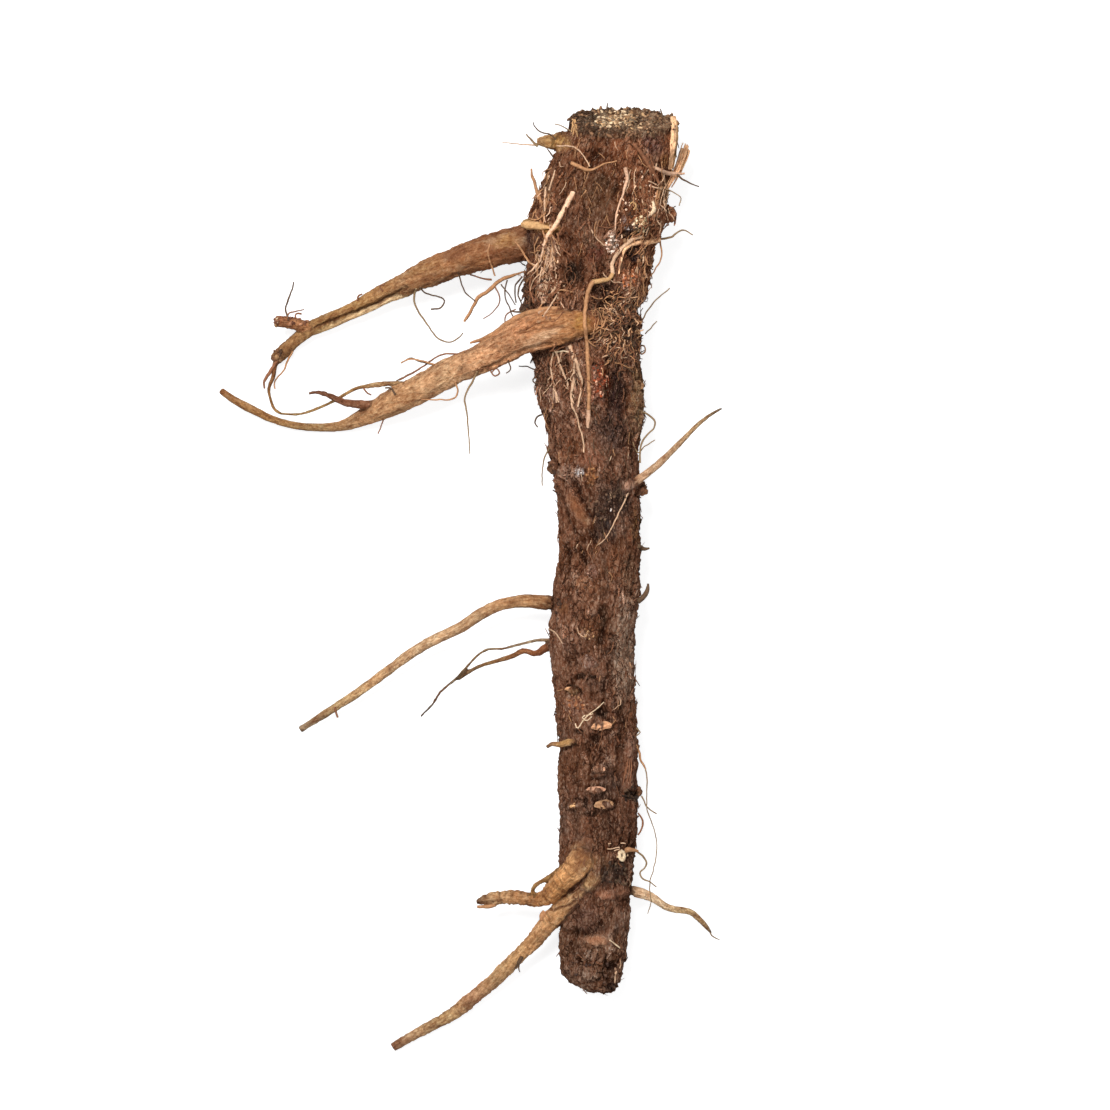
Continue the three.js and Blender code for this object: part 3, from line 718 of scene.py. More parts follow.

# %% [markdown]
# ## Painting the bark
#
# Bark is dark red-brown, grey-tan where it has rubbed, and painted shade darkens its cracks.
# Each point gets a colour from its relief and from noise, then patches are painted over it:
# rusty inner bark, pale peeled wood, and painted shade in hollows, round stubs and under the
# hair. The side roots take the skin colours written down above, with painted shade in their
# wrinkles and creases and a painted highlight along the top of the arm root.

# %% Patches of colour
PATCHES = [
    # x, y, width, height, turn, colour, strength
    (4.9, -10.6, 5, 8, 0, "#9c5c3c", 0.65), (-7.7, -5.4, 1.8, 5.4, 0, "#c07a4a", 0.8),
    (3.6, -39.6, 4.2, 6.4, 10, "#e2c2aa", 0.95), (8.3, -35.3, 2.2, 1.7, 0, "#d9c6bf", 0.9),
    (6.7, -32.8, 2.2, 2.4, 0, "#dab9ad", 0.85), (12.1, -34.3, 4.8, 5, 0, "#dcc08e", 0.9),
    (10.3, -43.3, 4, 5.2, 0, "#2c292e", 0.9), (8.8, -50.8, 6, 6.6, 0, "#b06a44", 0.8),
    (7.8, -52.5, 3.2, 3, 0, "#d39f8a", 0.6), (-8.4, -49.5, 5.6, 9.6, 0, "#2d241b", 0.88),
    (-5.3, -48, 1.6, 11, 0, "#2f1c14", 0.75), (-1.6, -43.4, 6.4, 6.4, 0, "#7c3f33", 0.7),
    (-22, -38.2, 3, 5.4, 0, "#3f2d30", 0.88), (-19.2, -40.5, 6.4, 9, 10, "#5a4234", 0.8),
    (-15, -43.8, 2.8, 10, -8, "#cba388", 0.85), (-17.2, -53.4, 4, 8, 0, "#cfa488", 0.9),
    (-0.5, -25.5, 12, 15, 0, "#5f462f", 0.5), (16, -10.4, 7, 9, 0, "#74504c", 0.8),
    (19.4, -15.4, 3, 5, 0, "#a4713f", 0.65), (11, -27.5, 13, 7, 0, "#6d3f2a", 0.6),
    (8.6, -37.2, 8, 4.6, 0, "#38241e", 0.7), (0.5, -54, 8.6, 5, 0, "#36251c", 0.7),
    (-16.4, -21, 3, 14, 16, "#8c6a48", 0.5), (19.6, -24.5, 3.4, 9, 0, "#9a7650", 0.7),
    (-6.5, -21, 12, 12, 0, "#694632", 0.5), (-3, -33, 22, 8, 0, "#5c4030", 0.5),
    # Painted shade: (4, -64) and (1, -57.5) darken the bark under the tangle of hair, for the gaps
    # between the hairs.
    (4, -64, 15, 17, 0, "#2b1a11", 0.9), (1, -57.5, 8, 5, 0, "#3a281d", 0.6),
    (-0.2, -81.2, 6.2, 13, 0, "#a04f33", 0.85), (1.1, -79.6, 3.2, 6, 12, "#b8502c", 0.65),
    (-1.5, -79, 1.5, 5, 0, "#d9ab94", 0.6), (0.4, -85.4, 1.4, 4, 0, "#d0a08a", 0.5),
    (5.2, -84, 5.4, 17, 0, "#45302e", 0.75), (3.4, -96.5, 11, 18, 0, "#52403a", 0.75),
    (11.4, -86, 5.4, 25, 0, "#a07850", 0.85), (-13.9, -86.1, 3.4, 6.2, 8, "#a98072", 0.65),
    (-12.6, -76, 7, 8, 0, "#3d2a1e", 0.6), (-3.4, -104.6, 9.6, 6, 0, "#a86a4e", 0.7),
    (-6.6, -108.7, 2.4, 3.4, 0, "#e0d0c8", 0.95), (-2.4, -109.8, 4.4, 8.2, 0, "#b0703e", 0.8),
    (-10.4, -108.4, 3.2, 3.4, 0, "#b07e66", 0.6), (2.8, -119.6, 13, 16, 0, "#4b3b34", 0.8),
    (7.6, -116, 6, 13, 0, "#40332d", 0.75), (1.4, -126, 8.4, 10, 0, "#3f3430", 0.75),
    (10.9, -124, 1.7, 12, 0, "#a4713f", 0.7), (-2.3, -138.3, 4.8, 4.6, 0, "#94695a", 0.7),
    (-5.3, -141.8, 5.8, 4, 0, "#a0663f", 0.65), (8.7, -141, 5.4, 19, 0, "#86644a", 0.55),
    (1.0, -138, 3, 20, 0, "#3a261a", 0.55), (6.8, -163, 8.6, 35, 0, "#a98870", 0.85),
    # Painted shade: the near-black patches at (-5.8, -170.4), (-2.2, -170), (0.1, -180.9), (-6.6,
    # -186.7), (-1, -188.6), (9.4, -205.5), (-4.2, -207.8), (0.4, -200.6) and (-2.6, -211.4) sit
    # over hollows and stand in for the shade in them.
    (-3.3, -165.9, 5.6, 4.2, -20, "#9e7566", 0.7), (-5.8, -170.4, 3.6, 2, 0, "#1c110a", 0.95),
    (-2.2, -170, 2.8, 2, 0, "#1c110a", 0.95), (-8.2, -174.1, 3.8, 1.8, 0, "#b58a60", 0.7),
    (-7.8, -178, 6.2, 6.2, 0, "#93604a", 0.65), (0.1, -180.9, 5, 3.7, 0, "#190f09", 0.96),
    (-6.6, -186.7, 3.2, 1.9, 0, "#22160f", 0.88), (-1, -188.6, 4.8, 3, 0, "#2a1a10", 0.8),
    (-3.6, -156.9, 4.6, 3.2, 0, "#a97f5e", 0.55), (0.4, -152, 5, 7, 0, "#3a281b", 0.7),
    (3.6, -164, 1.5, 22, 0, "#2d1e15", 0.75), (5.9, -193, 1.3, 27, 4, "#3c271c", 0.5),
    (8.9, -193, 3.8, 25, 0, "#9c6d57", 0.65), (9.4, -205.5, 4.4, 3.4, 0, "#241812", 0.9),
    (-4.2, -207.8, 2, 5.2, 0, "#22150e", 0.85), (0.4, -200.6, 6, 1.4, 0, "#2a1b12", 0.8),
    (-2.6, -211.4, 8, 1.4, 0, "#27190f", 0.8), (2.4, -215.5, 6.4, 9.4, 0, "#4e3629", 0.6),
    (-7, -214.5, 5, 12, 0, "#7d5a46", 0.45), (4.4, -229.4, 10.4, 8.4, 0, "#473a33", 0.8),
    (1.8, -235.5, 6.0, 3.2, 0, "#a8745c", 0.9), (-4, -242, 8.4, 9.6, 0, "#7a5648", 0.6),
    # Painted shade: (-0.3, -245.6) is the shade in the hollow above the ledge at (-0.9, -249.4).
    (-0.9, -249.4, 8.8, 4.2, 0, "#a87a5c", 0.7), (-0.3, -245.6, 7, 2.4, 0, "#3d2a24", 0.65),
    (2.9, -263, 3.2, 3.8, 0, "#2a201e", 0.85), (3.6, -257.5, 2.6, 5, 0, "#3a2a22", 0.6),
    (8.4, -222.8, 5.4, 1.8, 12, "#a5845f", 0.6), (2, -226, 5, 7, 30, "#7d5f47", 0.5),
]
SKIN_PATCHES = [
    # x, y, width, height, turn, colour, strength
    (-28.4, -38.8, 9, 4.6, 12, "#bd8752", 0.7), (-24, -44.6, 6.5, 6, 0, "#6b3f28", 0.75),
    (-43.2, -43, 11, 4.4, 14, "#825139", 0.6), (-49.5, -51.2, 10, 3.6, 20, "#7d5034", 0.6),
    (-53.7, -47.2, 9, 2.6, 22, "#c0905f", 0.6), (-36, -45.6, 6, 3.6, 12, "#a97046", 0.6),
    (-78, -61.4, 16, 1.8, 22, "#7a4b2b", 0.7), (-96.4, -72.9, 3.4, 4, 0, "#503524", 0.7),
    (-32.6, -42.4, 2.6, 7, 0, "#7d4a30", 0.5), (-66, -54.6, 6, 2.4, 22, "#8d5c39", 0.6),
    (-41, -72.6, 11, 1.6, 25, "#7b4a2c", 0.7), (-57, -86, 8, 4.4, 24, "#a56e44", 0.6),
    (-70.6, -89.8, 4, 3, 0, "#7d4d31", 0.7), (-47, -80.4, 7, 5, 24, "#d9aa7c", 0.5),
    (-61, -84.4, 5, 2.4, 24, "#8d5936", 0.5), (-34, -77.4, 12, 1.6, 24, "#8a5634", 0.6),
    # Painted highlight: (-18, -68.2) is a pale band along the top of the arm root.
    (-18, -72.4, 14, 3, 16, "#a5683f", 0.5), (-18, -68.2, 15, 3.6, 24, "#ecbc92", 0.7),
    (-112.6, -84.6, 4, 3, 0, "#8a4f30", 0.6), (-4.4, -224.6, 7, 3, 30, "#8a5c3a", 0.6),
    (-2.2, -219.6, 8.4, 7.4, 25, "#694838", 0.97),
]
CROWN_ENDS = (50, 68)
TIP_STARTS = (234, 246)


def mix(below, above, amount):
    """Paints one colour over another."""
    return below + (above - below) * np.asarray(amount)[:, None]


def layered(below, layers):
    """Paints colours over one another, each where its own amount says."""
    for code, amount in layers:
        below = mix(below, colour(code), amount)
    return below


def patched(below, patches, spots, fleck, facing):
    """Paints patches over a colour, with broken edges."""
    for x, y, width, height, turn, code, strength in patches:
        amount = oval(spots, x, y, width, height, turn) * (0.75 + 0.45 * fleck)
        below = mix(below, colour(code), np.clip(amount, 0, 1) * strength * facing)
    return below


def stretch_tones(bark, points):
    """Bark changes along the root: redder at the crown, paler and duller at the tip."""
    x, down = points[:, 0], -points[:, 1]
    crown = 1 - ramp(down, *CROWN_ENDS)
    tip = ramp(down, *TIP_STARTS)
    light = 1 - 0.12 * ramp(down, 172, 196) + 0.24 * tip
    light += 0.42 * ramp(x, 2, 13) * crown
    light -= 0.10 * ramp(x, 4, -2) * crown
    light += 0.14 * ramp(x, 0, -8) * ramp(down, 80, 90) * (1 - ramp(down, 140, 160))
    redder = ramp(down, 66, 50)[:, None] * [0.03, 0.15, 0.27]
    duller = tip[:, None] * [0.12, 0.02, -0.04]
    return bark * light[:, None] * (1 - redder - duller)


def bark_paint(points, grain, relief, broad, patchy, fleck):
    """Bark's colour: painted shade in the cracks, pale ridges, rusty or grey in places."""
    # Low relief is darker: the bark's own dark red-brown, deepened by painted shade in the cracks.
    bark = mix(colour("#4e2b18"), colour("#906047"), ramp(relief + 0.25 * patchy, -0.95, 0.2))
    bark = layered(bark, [
        ("#c2967c", 0.68 * ramp(relief + 0.7 * fleck, 0.15, 1.10)),
        ("#8a5536", 0.45 * ramp(broad + 0.4 * patchy, 0.1, 1.1)),
        ("#5e4f46", 0.40 * ramp(-broad + 0.4 * patchy, 0.3, 1.2)),
    ])
    below_cut = (points - CUT_POINT) @ CUT_NORMAL + 0.9 * clouds(points, 2.5, 3, 25)
    return layered(stretch_tones(bark, points), [
        # Painted shade: the deepest grooves and hollows go nearly black.
        ("#2c150a", 0.85 * ramp(-relief, 0.62, 1.35)),
        ("#452c1d", 0.75 * ramp(below_cut, -2.6, -1.2)),
    ])


def skin_paint(points, normals, grain, nearest, folds, broad, patchy, fleck, speckle):
    """Skin's colour: its own, mottled and specked, with painted shade in wrinkles and creases."""
    folded, _, fold_shade = folds
    taproot = (lines.root[nearest] == 0) * ramp(folded, 0, 0.05)
    tan = mix(lines.skin[nearest], fold_shade, np.maximum(taproot, 0.6 * folded))
    mottled = clouds(grain, [2.2, 2.2, 5], 3, 27)
    tan = tan * (1.05 + 0.22 * patchy + 0.15 * fleck)[:, None] * [1.03, 1.0, 0.96]
    # Painted shade in the troughs of the wrinkles, where the wrinkle relief is lowest.
    wrinkle_trough_shade = lines.wrinkled[nearest] * ramp(-clouds(grain, [4, 4, 0.9], 3, 15), 0.1, 1.2)
    return layered(tan, [
        ("#7c4a2e", 0.55 * ramp(mottled + 0.5 * broad, 0.2, 1.1)),
        ("#e2bd94", 0.35 * ramp(-mottled + 0.5 * broad, 0.35, 1.3)),
        ("#653c22", 0.6 * wrinkle_trough_shade),
        ("#6e432b", 0.6 * ramp(fleck - 0.6 * patchy, 0.8, 1.6)),
        ("#5f3a24", 0.7 * ramp(speckle + 0.5 * mottled, 0.75, 1.4)),
        # Painted shade in the creases.
        ("#5a3520", 0.85 * ramp(creases_of(points, normals), 0.1, 0.7)),
    ])


def wood_paint(points, relief):
    """The cut face's colour: pale pith in the middle, brown towards the rim and one side."""
    _, out, _ = cut_place(points)
    crumb = clouds(points, 1.2, 4, 24)
    rim = ragged(points, out)
    wood = mix(colour("#8c6c50"), colour("#e4caa8"), ramp(crumb, -0.4, 0.9))
    left_front = ramp(-points[:, 0], -2, 2) * ramp(out, 0.35, 0.6)
    return layered(wood, [
        # Painted shade in the pits and the sunk middle: the deepest relief goes nearly black.
        ("#2c2018", 0.9 * ramp(-relief + 0.4 * crumb, 0.9, 1.9)),
        ("#8a6a50", ramp(rim, 0.62, 0.76) * 0.8),
        ("#5a4332", ramp(rim, 0.82, 0.94) * (0.8 - 0.3 * crumb).clip(0, 1)),
        ("#9c785b", 0.8 * ramp(points[:, 0] + 2 * crumb, 9, 13)),
        ("#4a3629", 0.75 * left_front),
    ])


def paint_of(points, normals, grain, relief, nearest, folds, skin, cut):
    """Each point's colour before the fine grain that the material adds."""
    broad = clouds(points, 11, 2, 20)
    patchy = clouds(grain, [3, 3, 8], 3, 21)
    fleck = clouds(grain, [0.8, 0.8, 1.6], 3, 22)
    speckle = clouds(grain, [0.7, 0.7, 1.1], 3, 28)
    facing = ramp(normals[:, 2], -0.35, 0.05)
    spots = seen(points)
    moved = spots + np.column_stack([patchy, broad]) * 0.8

    bark = bark_paint(points, grain, relief, broad, patchy, fleck)
    bark = patched(bark, PATCHES, moved, fleck, facing)
    # Painted shade in the gap round each stub: a dark ring just outside its rim.
    for x, y, width, height, _, turn, _ in STUBS:
        gap = ring(spots, x, y, width, height, turn)
        bark = mix(bark, colour("#2b180d"), 0.6 * facing * gap)

    tan = skin_paint(points, normals, grain, nearest, folds, broad, patchy, fleck, speckle)
    tan = patched(tan, SKIN_PATCHES, moved, speckle, facing)
    return mix(mix(bark, tan, skin), wood_paint(points, relief), cut).clip(DARKEST, 1)


def store(mesh, name, values, kind="FLOAT"):
    """Keeps one value, vector or colour for each of the mesh's points."""
    attribute = mesh.attributes.new(name, kind, "POINT")
    if kind == "FLOAT_COLOR":
        values = np.column_stack([values, np.ones(len(values))])
    field = {"FLOAT": "value", "FLOAT_VECTOR": "vector", "FLOAT_COLOR": "color"}[kind]
    attribute.data.foreach_set(field, np.asarray(values, np.float32).ravel())


points, normals = corners(root.data)
relief = numbers(root.data.attributes["relief"].data, "value")[:, 0]
nearest, taproot_gap, side_gap = near_lines(points)
grain = grain_of(points, nearest)
above_cut, from_middle, _ = cut_place(points)
cut = ramp(above_cut, -1.8, -0.7) * ramp(normals @ CUT_NORMAL, 0.0, 0.45)
folds = folds_of(points, normals)
skin = skin_of(points, taproot_gap, side_gap, folds[0], cut)
paint = paint_of(points, normals, grain, relief, nearest, folds, skin, cut)
store(root.data, "paint", paint, "FLOAT_COLOR")
store(root.data, "skin", skin)
store(root.data, "grain", grain, "FLOAT_VECTOR")
print("painted", len(points), "points,", len(PATCHES), "patches")

# %% [markdown]
# ## Shared shader groups
#
# Two effects have a node group of their own: fibres and creases that run along a root, and
# pale specks with fine grit. They put out plain values between 0 and 1, and any material can
# use them at its own size.

# %% Node groups


def new_group(name, inputs, outputs):
    """A shader node group with named sockets."""
    group = bpy.data.node_groups.new(name, "ShaderNodeTree")
    for socket, kind in inputs:
        group.interface.new_socket(name=socket, in_out="INPUT", socket_type=kind)
    for socket in outputs:
        group.interface.new_socket(name=socket, in_out="OUTPUT", socket_type="NodeSocketFloat")
    return group, group.nodes.new("NodeGroupInput"), group.nodes.new("NodeGroupOutput")


def add(tree, kind, inputs=None, **settings):
    """A node with its settings and inputs: a value, or another node's output to link."""
    made = tree.nodes.new(kind)
    for name, value in settings.items():
        setattr(made, name, value)
    for name, value in (inputs or {}).items():
        plug(tree, value, made.inputs[name])
    return made


def plug(tree, value, socket):
    """Links an output to a socket, or sets the socket to a plain value."""
    if isinstance(value, bpy.types.NodeSocket):
        tree.links.new(value, socket)
    else:
        socket.default_value = value


def stretched(tree, vector, stretch):
    """A vector scaled by different amounts along its axes."""
    return add(tree, "ShaderNodeMapping", {"Vector": vector, "Scale": stretch}).outputs[0]


def scaled(tree, vector, size):
    """A vector scaled by one number."""
    inputs = {0: vector, "Scale": size}
    return add(tree, "ShaderNodeVectorMath", inputs, operation="SCALE").outputs[0]


def stretched_noise(tree, vector, stretch, detail=5.0, roughness=0.6):
    """Noise on a stretched vector."""
    inputs = {"Vector": stretched(tree, vector, stretch), "Scale": 1.0}
    inputs |= {"Detail": detail, "Roughness": roughness}
    return add(tree, "ShaderNodeTexNoise", inputs).outputs["Fac"]


def spread(tree, value, low, high, new_low=0.0, new_high=1.0):
    """Stretches the part of a value between low and high over a new range."""
    inputs = {"Value": value, "From Min": low, "From Max": high}
    inputs |= {"To Min": new_low, "To Max": new_high}
    return add(tree, "ShaderNodeMapRange", inputs).outputs["Result"]


def maths(tree, kind, first, second=0.0, third=0.0):
    """One Math node's result."""
    return add(tree, "ShaderNodeMath", {0: first, 1: second, 2: third}, operation=kind).outputs[0]


SIZED = [("Vector", "NodeSocketVector"), ("Size", "NodeSocketFloat")]
fibres, start, end = new_group("Fibres along", SIZED, ["Fibre", "Crease"])
sized = scaled(fibres, start.outputs["Vector"], start.outputs["Size"])
line_noise = stretched_noise(fibres, sized, (1.3, 1.3, 0.42), 6.0, 0.68)
ring_noise = stretched_noise(fibres, sized, (0.3, 0.3, 2.0))
plug(fibres, spread(fibres, line_noise, 0.30, 0.70), end.inputs["Fibre"])
plug(fibres, spread(fibres, ring_noise, 0.28, 0.72), end.inputs["Crease"])

specks, start, end = new_group("Specks", SIZED, ["Speck", "Grit"])
sized = scaled(specks, start.outputs["Vector"], start.outputs["Size"])
dots = add(specks, "ShaderNodeTexVoronoi", {"Vector": sized, "Scale": 1.0, "Randomness": 1.0})
patches = stretched_noise(specks, sized, (0.35, 0.35, 0.35), 3.0)
grit = stretched_noise(specks, sized, (1.0, 1.0, 1.0), 7.0, 0.78)
small = spread(specks, dots.outputs["Distance"], 0.42, 0.20)
some = spread(specks, patches, 0.42, 0.58)
plug(specks, maths(specks, "MULTIPLY", small, some), end.inputs["Speck"])
plug(specks, spread(specks, grit, 0.25, 0.75), end.inputs["Grit"])
print("groups:", [group.name for group in bpy.data.node_groups])

# %% [markdown]
# ## The bark material
#
# The painted colour is the base. Fibres darken and lighten it in streaks along each root, pale
# specks of rubbed bark lie on the rough parts only, and cracks go nearly black. Skin is a
# little smoother than bark. The same patterns feed the bump, so light catches what the eye
# sees as fibre.

# %% Bark
SKIN_HAS = {
    "specks": -0.75, "streaks": -0.6, "grit": -0.18, "dullness": -0.25, "grit height": -0.45
}


def plain_material(name):
    """A material with its Principled shader, ready for nodes."""
    made = bpy.data.materials.new(name)
    made.use_nodes = True
    return made, made.node_tree, made.node_tree.nodes["Principled BSDF"]


def blend_colours(tree, below, above, amount, kind="MIX"):
    """Mixes two colours; each may be a value or an output."""
    made = add(tree, "ShaderNodeMix", data_type="RGBA", blend_type=kind, clamp_factor=True)
    for index, value in ((0, amount), (6, below), (7, above)):
        plug(tree, value, made.inputs[index])
    return made.outputs[2]


def reddening(tree, value):
    """A grey factor turned into a colour factor: what it darkens also goes redder."""
    green = maths(tree, "POWER", value, 1.45)
    blue = maths(tree, "POWER", value, 1.75)
    return add(tree, "ShaderNodeCombineColor", {0: value, 1: green, 2: blue}).outputs[0]


def rgb(code):
    """A colour for a node's colour socket."""
    return (*colour(code), 1.0)


def read(tree, name):
    """The node that reads one of the mesh's attributes."""
    return add(tree, "ShaderNodeAttribute", attribute_name=name)


def use(tree, group, vector, size):
    """A copy of a node group, working on a vector at a size."""
    return add(tree, "ShaderNodeGroup", {"Vector": vector, "Size": size}, node_tree=group)


def bump(tree, shader, height, strength, distance):
    """Lets a height tilt the light on a shader's surface."""
    inputs = {"Height": height, "Strength": strength, "Distance": distance}
    plug(tree, add(tree, "ShaderNodeBump", inputs).outputs["Normal"], shader.inputs["Normal"])


def less_on_skin(what, on_bark):
    """A value that the skin has less of than the bark."""
    return maths(tree, "MULTIPLY_ADD", skin_in, SKIN_HAS[what], on_bark)


bark, tree, shader = plain_material("Dried bark")
paint_in = read(tree, "paint").outputs["Color"]
skin_in = read(tree, "skin").outputs["Fac"]
grain_in = read(tree, "grain").outputs["Vector"]
fibre = use(tree, fibres, grain_in, 1.0)
dotted = use(tree, specks, stretched(tree, grain_in, (1, 1, 0.42)), 1.4)
rough_part = less_on_skin("specks", 1.0)

streak = reddening(tree, spread(tree, fibre.outputs["Fibre"], 0.0, 1.0, 0.42, 1.58))
look = blend_colours(tree, paint_in, streak, less_on_skin("streaks", 0.95), "MULTIPLY")
grit = reddening(tree, spread(tree, dotted.outputs["Grit"], 0.12, 0.88, 0.30, 1.78))
look = blend_colours(tree, look, grit, less_on_skin("grit", 0.95), "MULTIPLY")
creased = spread(tree, fibre.outputs["Crease"], 0.05, 0.5, 0.55, 1.06)
look = blend_colours(tree, look, creased, 0.3, "MULTIPLY")
speck = maths(tree, "MULTIPLY", dotted.outputs["Speck"], rough_part)
look = blend_colours(tree, look, rgb("#c49a80"), maths(tree, "MULTIPLY", speck, 0.5))
torn = spread(tree, stretched_noise(tree, grain_in, (2.3, 2.3, 0.6), 3.0, 0.6), 0.59, 0.67)
torn = maths(tree, "MULTIPLY", maths(tree, "MULTIPLY", torn, rough_part), 0.66)
look = blend_colours(tree, look, rgb("#c79f84"), torn)
wander = add(tree, "ShaderNodeTexNoise", {"Vector": grain_in, "Scale": 0.5, "Detail": 3.0})
bent = scaled(tree, wander.outputs["Color"], 2.6)
bent = add(tree, "ShaderNodeVectorMath", {0: grain_in, 1: bent}, operation="ADD").outputs[0]
bent = stretched(tree, bent, (0.62, 0.62, 0.26))
plates = add(
    tree, "ShaderNodeTexVoronoi", {"Vector": bent, "Scale": 1.0}, feature="DISTANCE_TO_EDGE"
)
crack = spread(tree, plates.outputs["Distance"], 0.09, 0.01)
some_cracks = spread(tree, stretched_noise(tree, grain_in, (0.16, 0.16, 0.09), 3.0), 0.38, 0.58)
crack = maths(tree, "MULTIPLY", maths(tree, "MULTIPLY", crack, some_cracks), rough_part)
look = blend_colours(tree, look, rgb("#34180a"), maths(tree, "MULTIPLY", crack, 0.9))
plug(tree, look, shader.inputs["Base Color"])

dull = maths(tree, "MULTIPLY_ADD", dotted.outputs["Grit"], 0.1, less_on_skin("dullness", 0.9))
plug(tree, dull, shader.inputs["Roughness"])
plug(tree, 0.06, shader.inputs["Specular IOR Level"])

grit_height = maths(tree, "MULTIPLY", dotted.outputs["Grit"], less_on_skin("grit height", 1.0))
rise = maths(tree, "MULTIPLY", fibre.outputs["Fibre"], 0.55)
for layer, how_high in (
    (fibre.outputs["Crease"], 0.35), (grit_height, 0.9), (crack, -0.8), (torn, 0.6)
):
    rise = maths(tree, "MULTIPLY_ADD", layer, how_high, rise)
bump(tree, shader, rise, 1.0, 0.0008)
root.data.materials.append(bark)
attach(root, "root")
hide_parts("chicory_root")
print("bark material has", len(tree.nodes), "nodes")

# %% [markdown]
# ## Rootlets and hair roots
#
# Rootlets as thin as string can't come out of the remeshed bark, so they are drawn as curves.
# Each route is drawn flat, dropped onto the bark so that the rootlet lies on what is under it,
# and given a radius that shrinks towards its tip. Where nothing is under it, it hangs free at
# the height it had. Rootlets of one tone are one curve, which is then turned into a mesh.

# %% Dropping a route onto the root
STRAND_STEP = 0.6
CLOSE_STRAND = 1.5
THIN_STRAND = 0.46
KINK = 0.22
THINNEST = 0.05
surface = BVHTree.FromPolygons(points.tolist(), [tuple(p.vertices) for p in root.data.polygons])
dice = random.Random(7)
noise.seed_set(7)


def drop(spot):
    """Where the line of sight through a drawing-plane spot meets the root, or None."""
    aim = Vector((spot[0], spot[1], PLANE)) - Vector(EYE)
    return surface.ray_cast(Vector(EYE), aim.normalized())[0]


def drop_or_nearest(spot):
    """Where a spot drops onto the root, or the nearest place on it when it lies beside it."""
    return drop(spot) or surface.find_nearest(Vector((*spot, PLANE)))[0]


def lay(route, radii, lift=0.0, slack=5, others=()):
    """A strand's x, y, z and radius rows, laid on the root along a flat route.

    A strand that starts beside the root starts on another strand, where one is close by.
    """
    flat = through(route, STRAND_STEP, 2)
    heights = np.array([hit.z if (hit := drop(spot)) else np.nan for spot in flat])
    landed = ~np.isnan(heights)
    if not landed[0]:
        heights[0] = drop_or_nearest(flat[0]).z
        for rows in others:
            gaps = np.linalg.norm(rows[:, :2] - flat[0], axis=1)
            if gaps.min() < CLOSE_STRAND:
                heights[0] = rows[gaps.argmin(), 2]
    known = ~np.isnan(heights)
    places = np.arange(len(flat))
    heights = np.interp(places, places[known], heights[known])
    padded = np.pad(heights, slack, mode="edge")
    eased = np.convolve(padded, np.ones(2 * slack + 1) / (2 * slack + 1), "valid")
    radius = np.interp(np.linspace(0, 1, len(flat)), np.linspace(0, 1, len(radii)), radii)
    radius = np.where(radius < THIN_STRAND, 0.8 * radius, radius)
    heights = np.where(landed, np.maximum(eased, heights), eased) + 0.5 * radius + lift
    kinks = np.array([noise.noise_vector((0.35 * i, route[0][0], 3.1)) for i in places])
    flat = flat + KINK * kinks[:, :2]
    further = (EYE[2] - heights) / (EYE[2] - PLANE)
    spots = EYE[:2] + (flat - EYE[:2]) * further[:, None]
    radius = radius * (1 + 0.16 * kinks[:, 2])
    return np.column_stack([spots, np.maximum(heights, 1.1 * radius), radius])


def draw_tubes(name, strands, tone, mottling=0.16):
    """One mesh of round strands, each closed at its ends, with their tone as paint."""
    curve = bpy.data.curves.new(name, "CURVE")
    curve.dimensions = "3D"
    curve.bevel_depth = MM
    curve.bevel_resolution = 1
    curve.use_fill_caps = True
    for rows in strands:
        spline = curve.splines.new("POLY")
        spline.points.add(len(rows) - 1)
        spots = np.column_stack([(rows[:, :3] + ORIGIN) * MM, np.ones(len(rows))])
        spline.points.foreach_set("co", spots.ravel())
        spline.points.foreach_set("radius", np.maximum(rows[:, 3], THINNEST))
    new_object(name, curve)
    bpy.ops.object.convert(target="MESH")
    made = bpy.context.active_object
    spots, _ = corners(made.data)
    mottle = mottling * clouds(spots, 5, 3, 40) + 0.13 * clouds(spots, 1.0, 3, 42)
    shades = colour(tone) * (1 + mottle)[:, None]
    store(made.data, "paint", shades.clip(DARKEST, 1), "FLOAT_COLOR")
    return made


def draw_by_tone(name, by_tone, mottling=0.16):
    """One mesh for each tone that has strands."""
    return [
        draw_tubes(f"{name} {tone}", strands, TONES[tone], mottling)
        for tone, strands in by_tone.items()
        if strands
    ]


def join(pieces, name):
    """Joins meshes into one smooth-shaded piece."""
    pick(*pieces)
    if len(pieces) > 1:
        bpy.ops.object.join()
    made = bpy.context.active_object
    made.name = name
    bpy.ops.object.shade_smooth()
    return made


print("crown middle drops to", [round(v, 1) for v in drop((2, -40))])

# %% [markdown]
# ## The rootlets that this root has
#
# Each entry is a tone, the radius from base to tip, and the route. The pale ones are fresh
# rootlets that grew late in the season. The dark wiry ones are old.

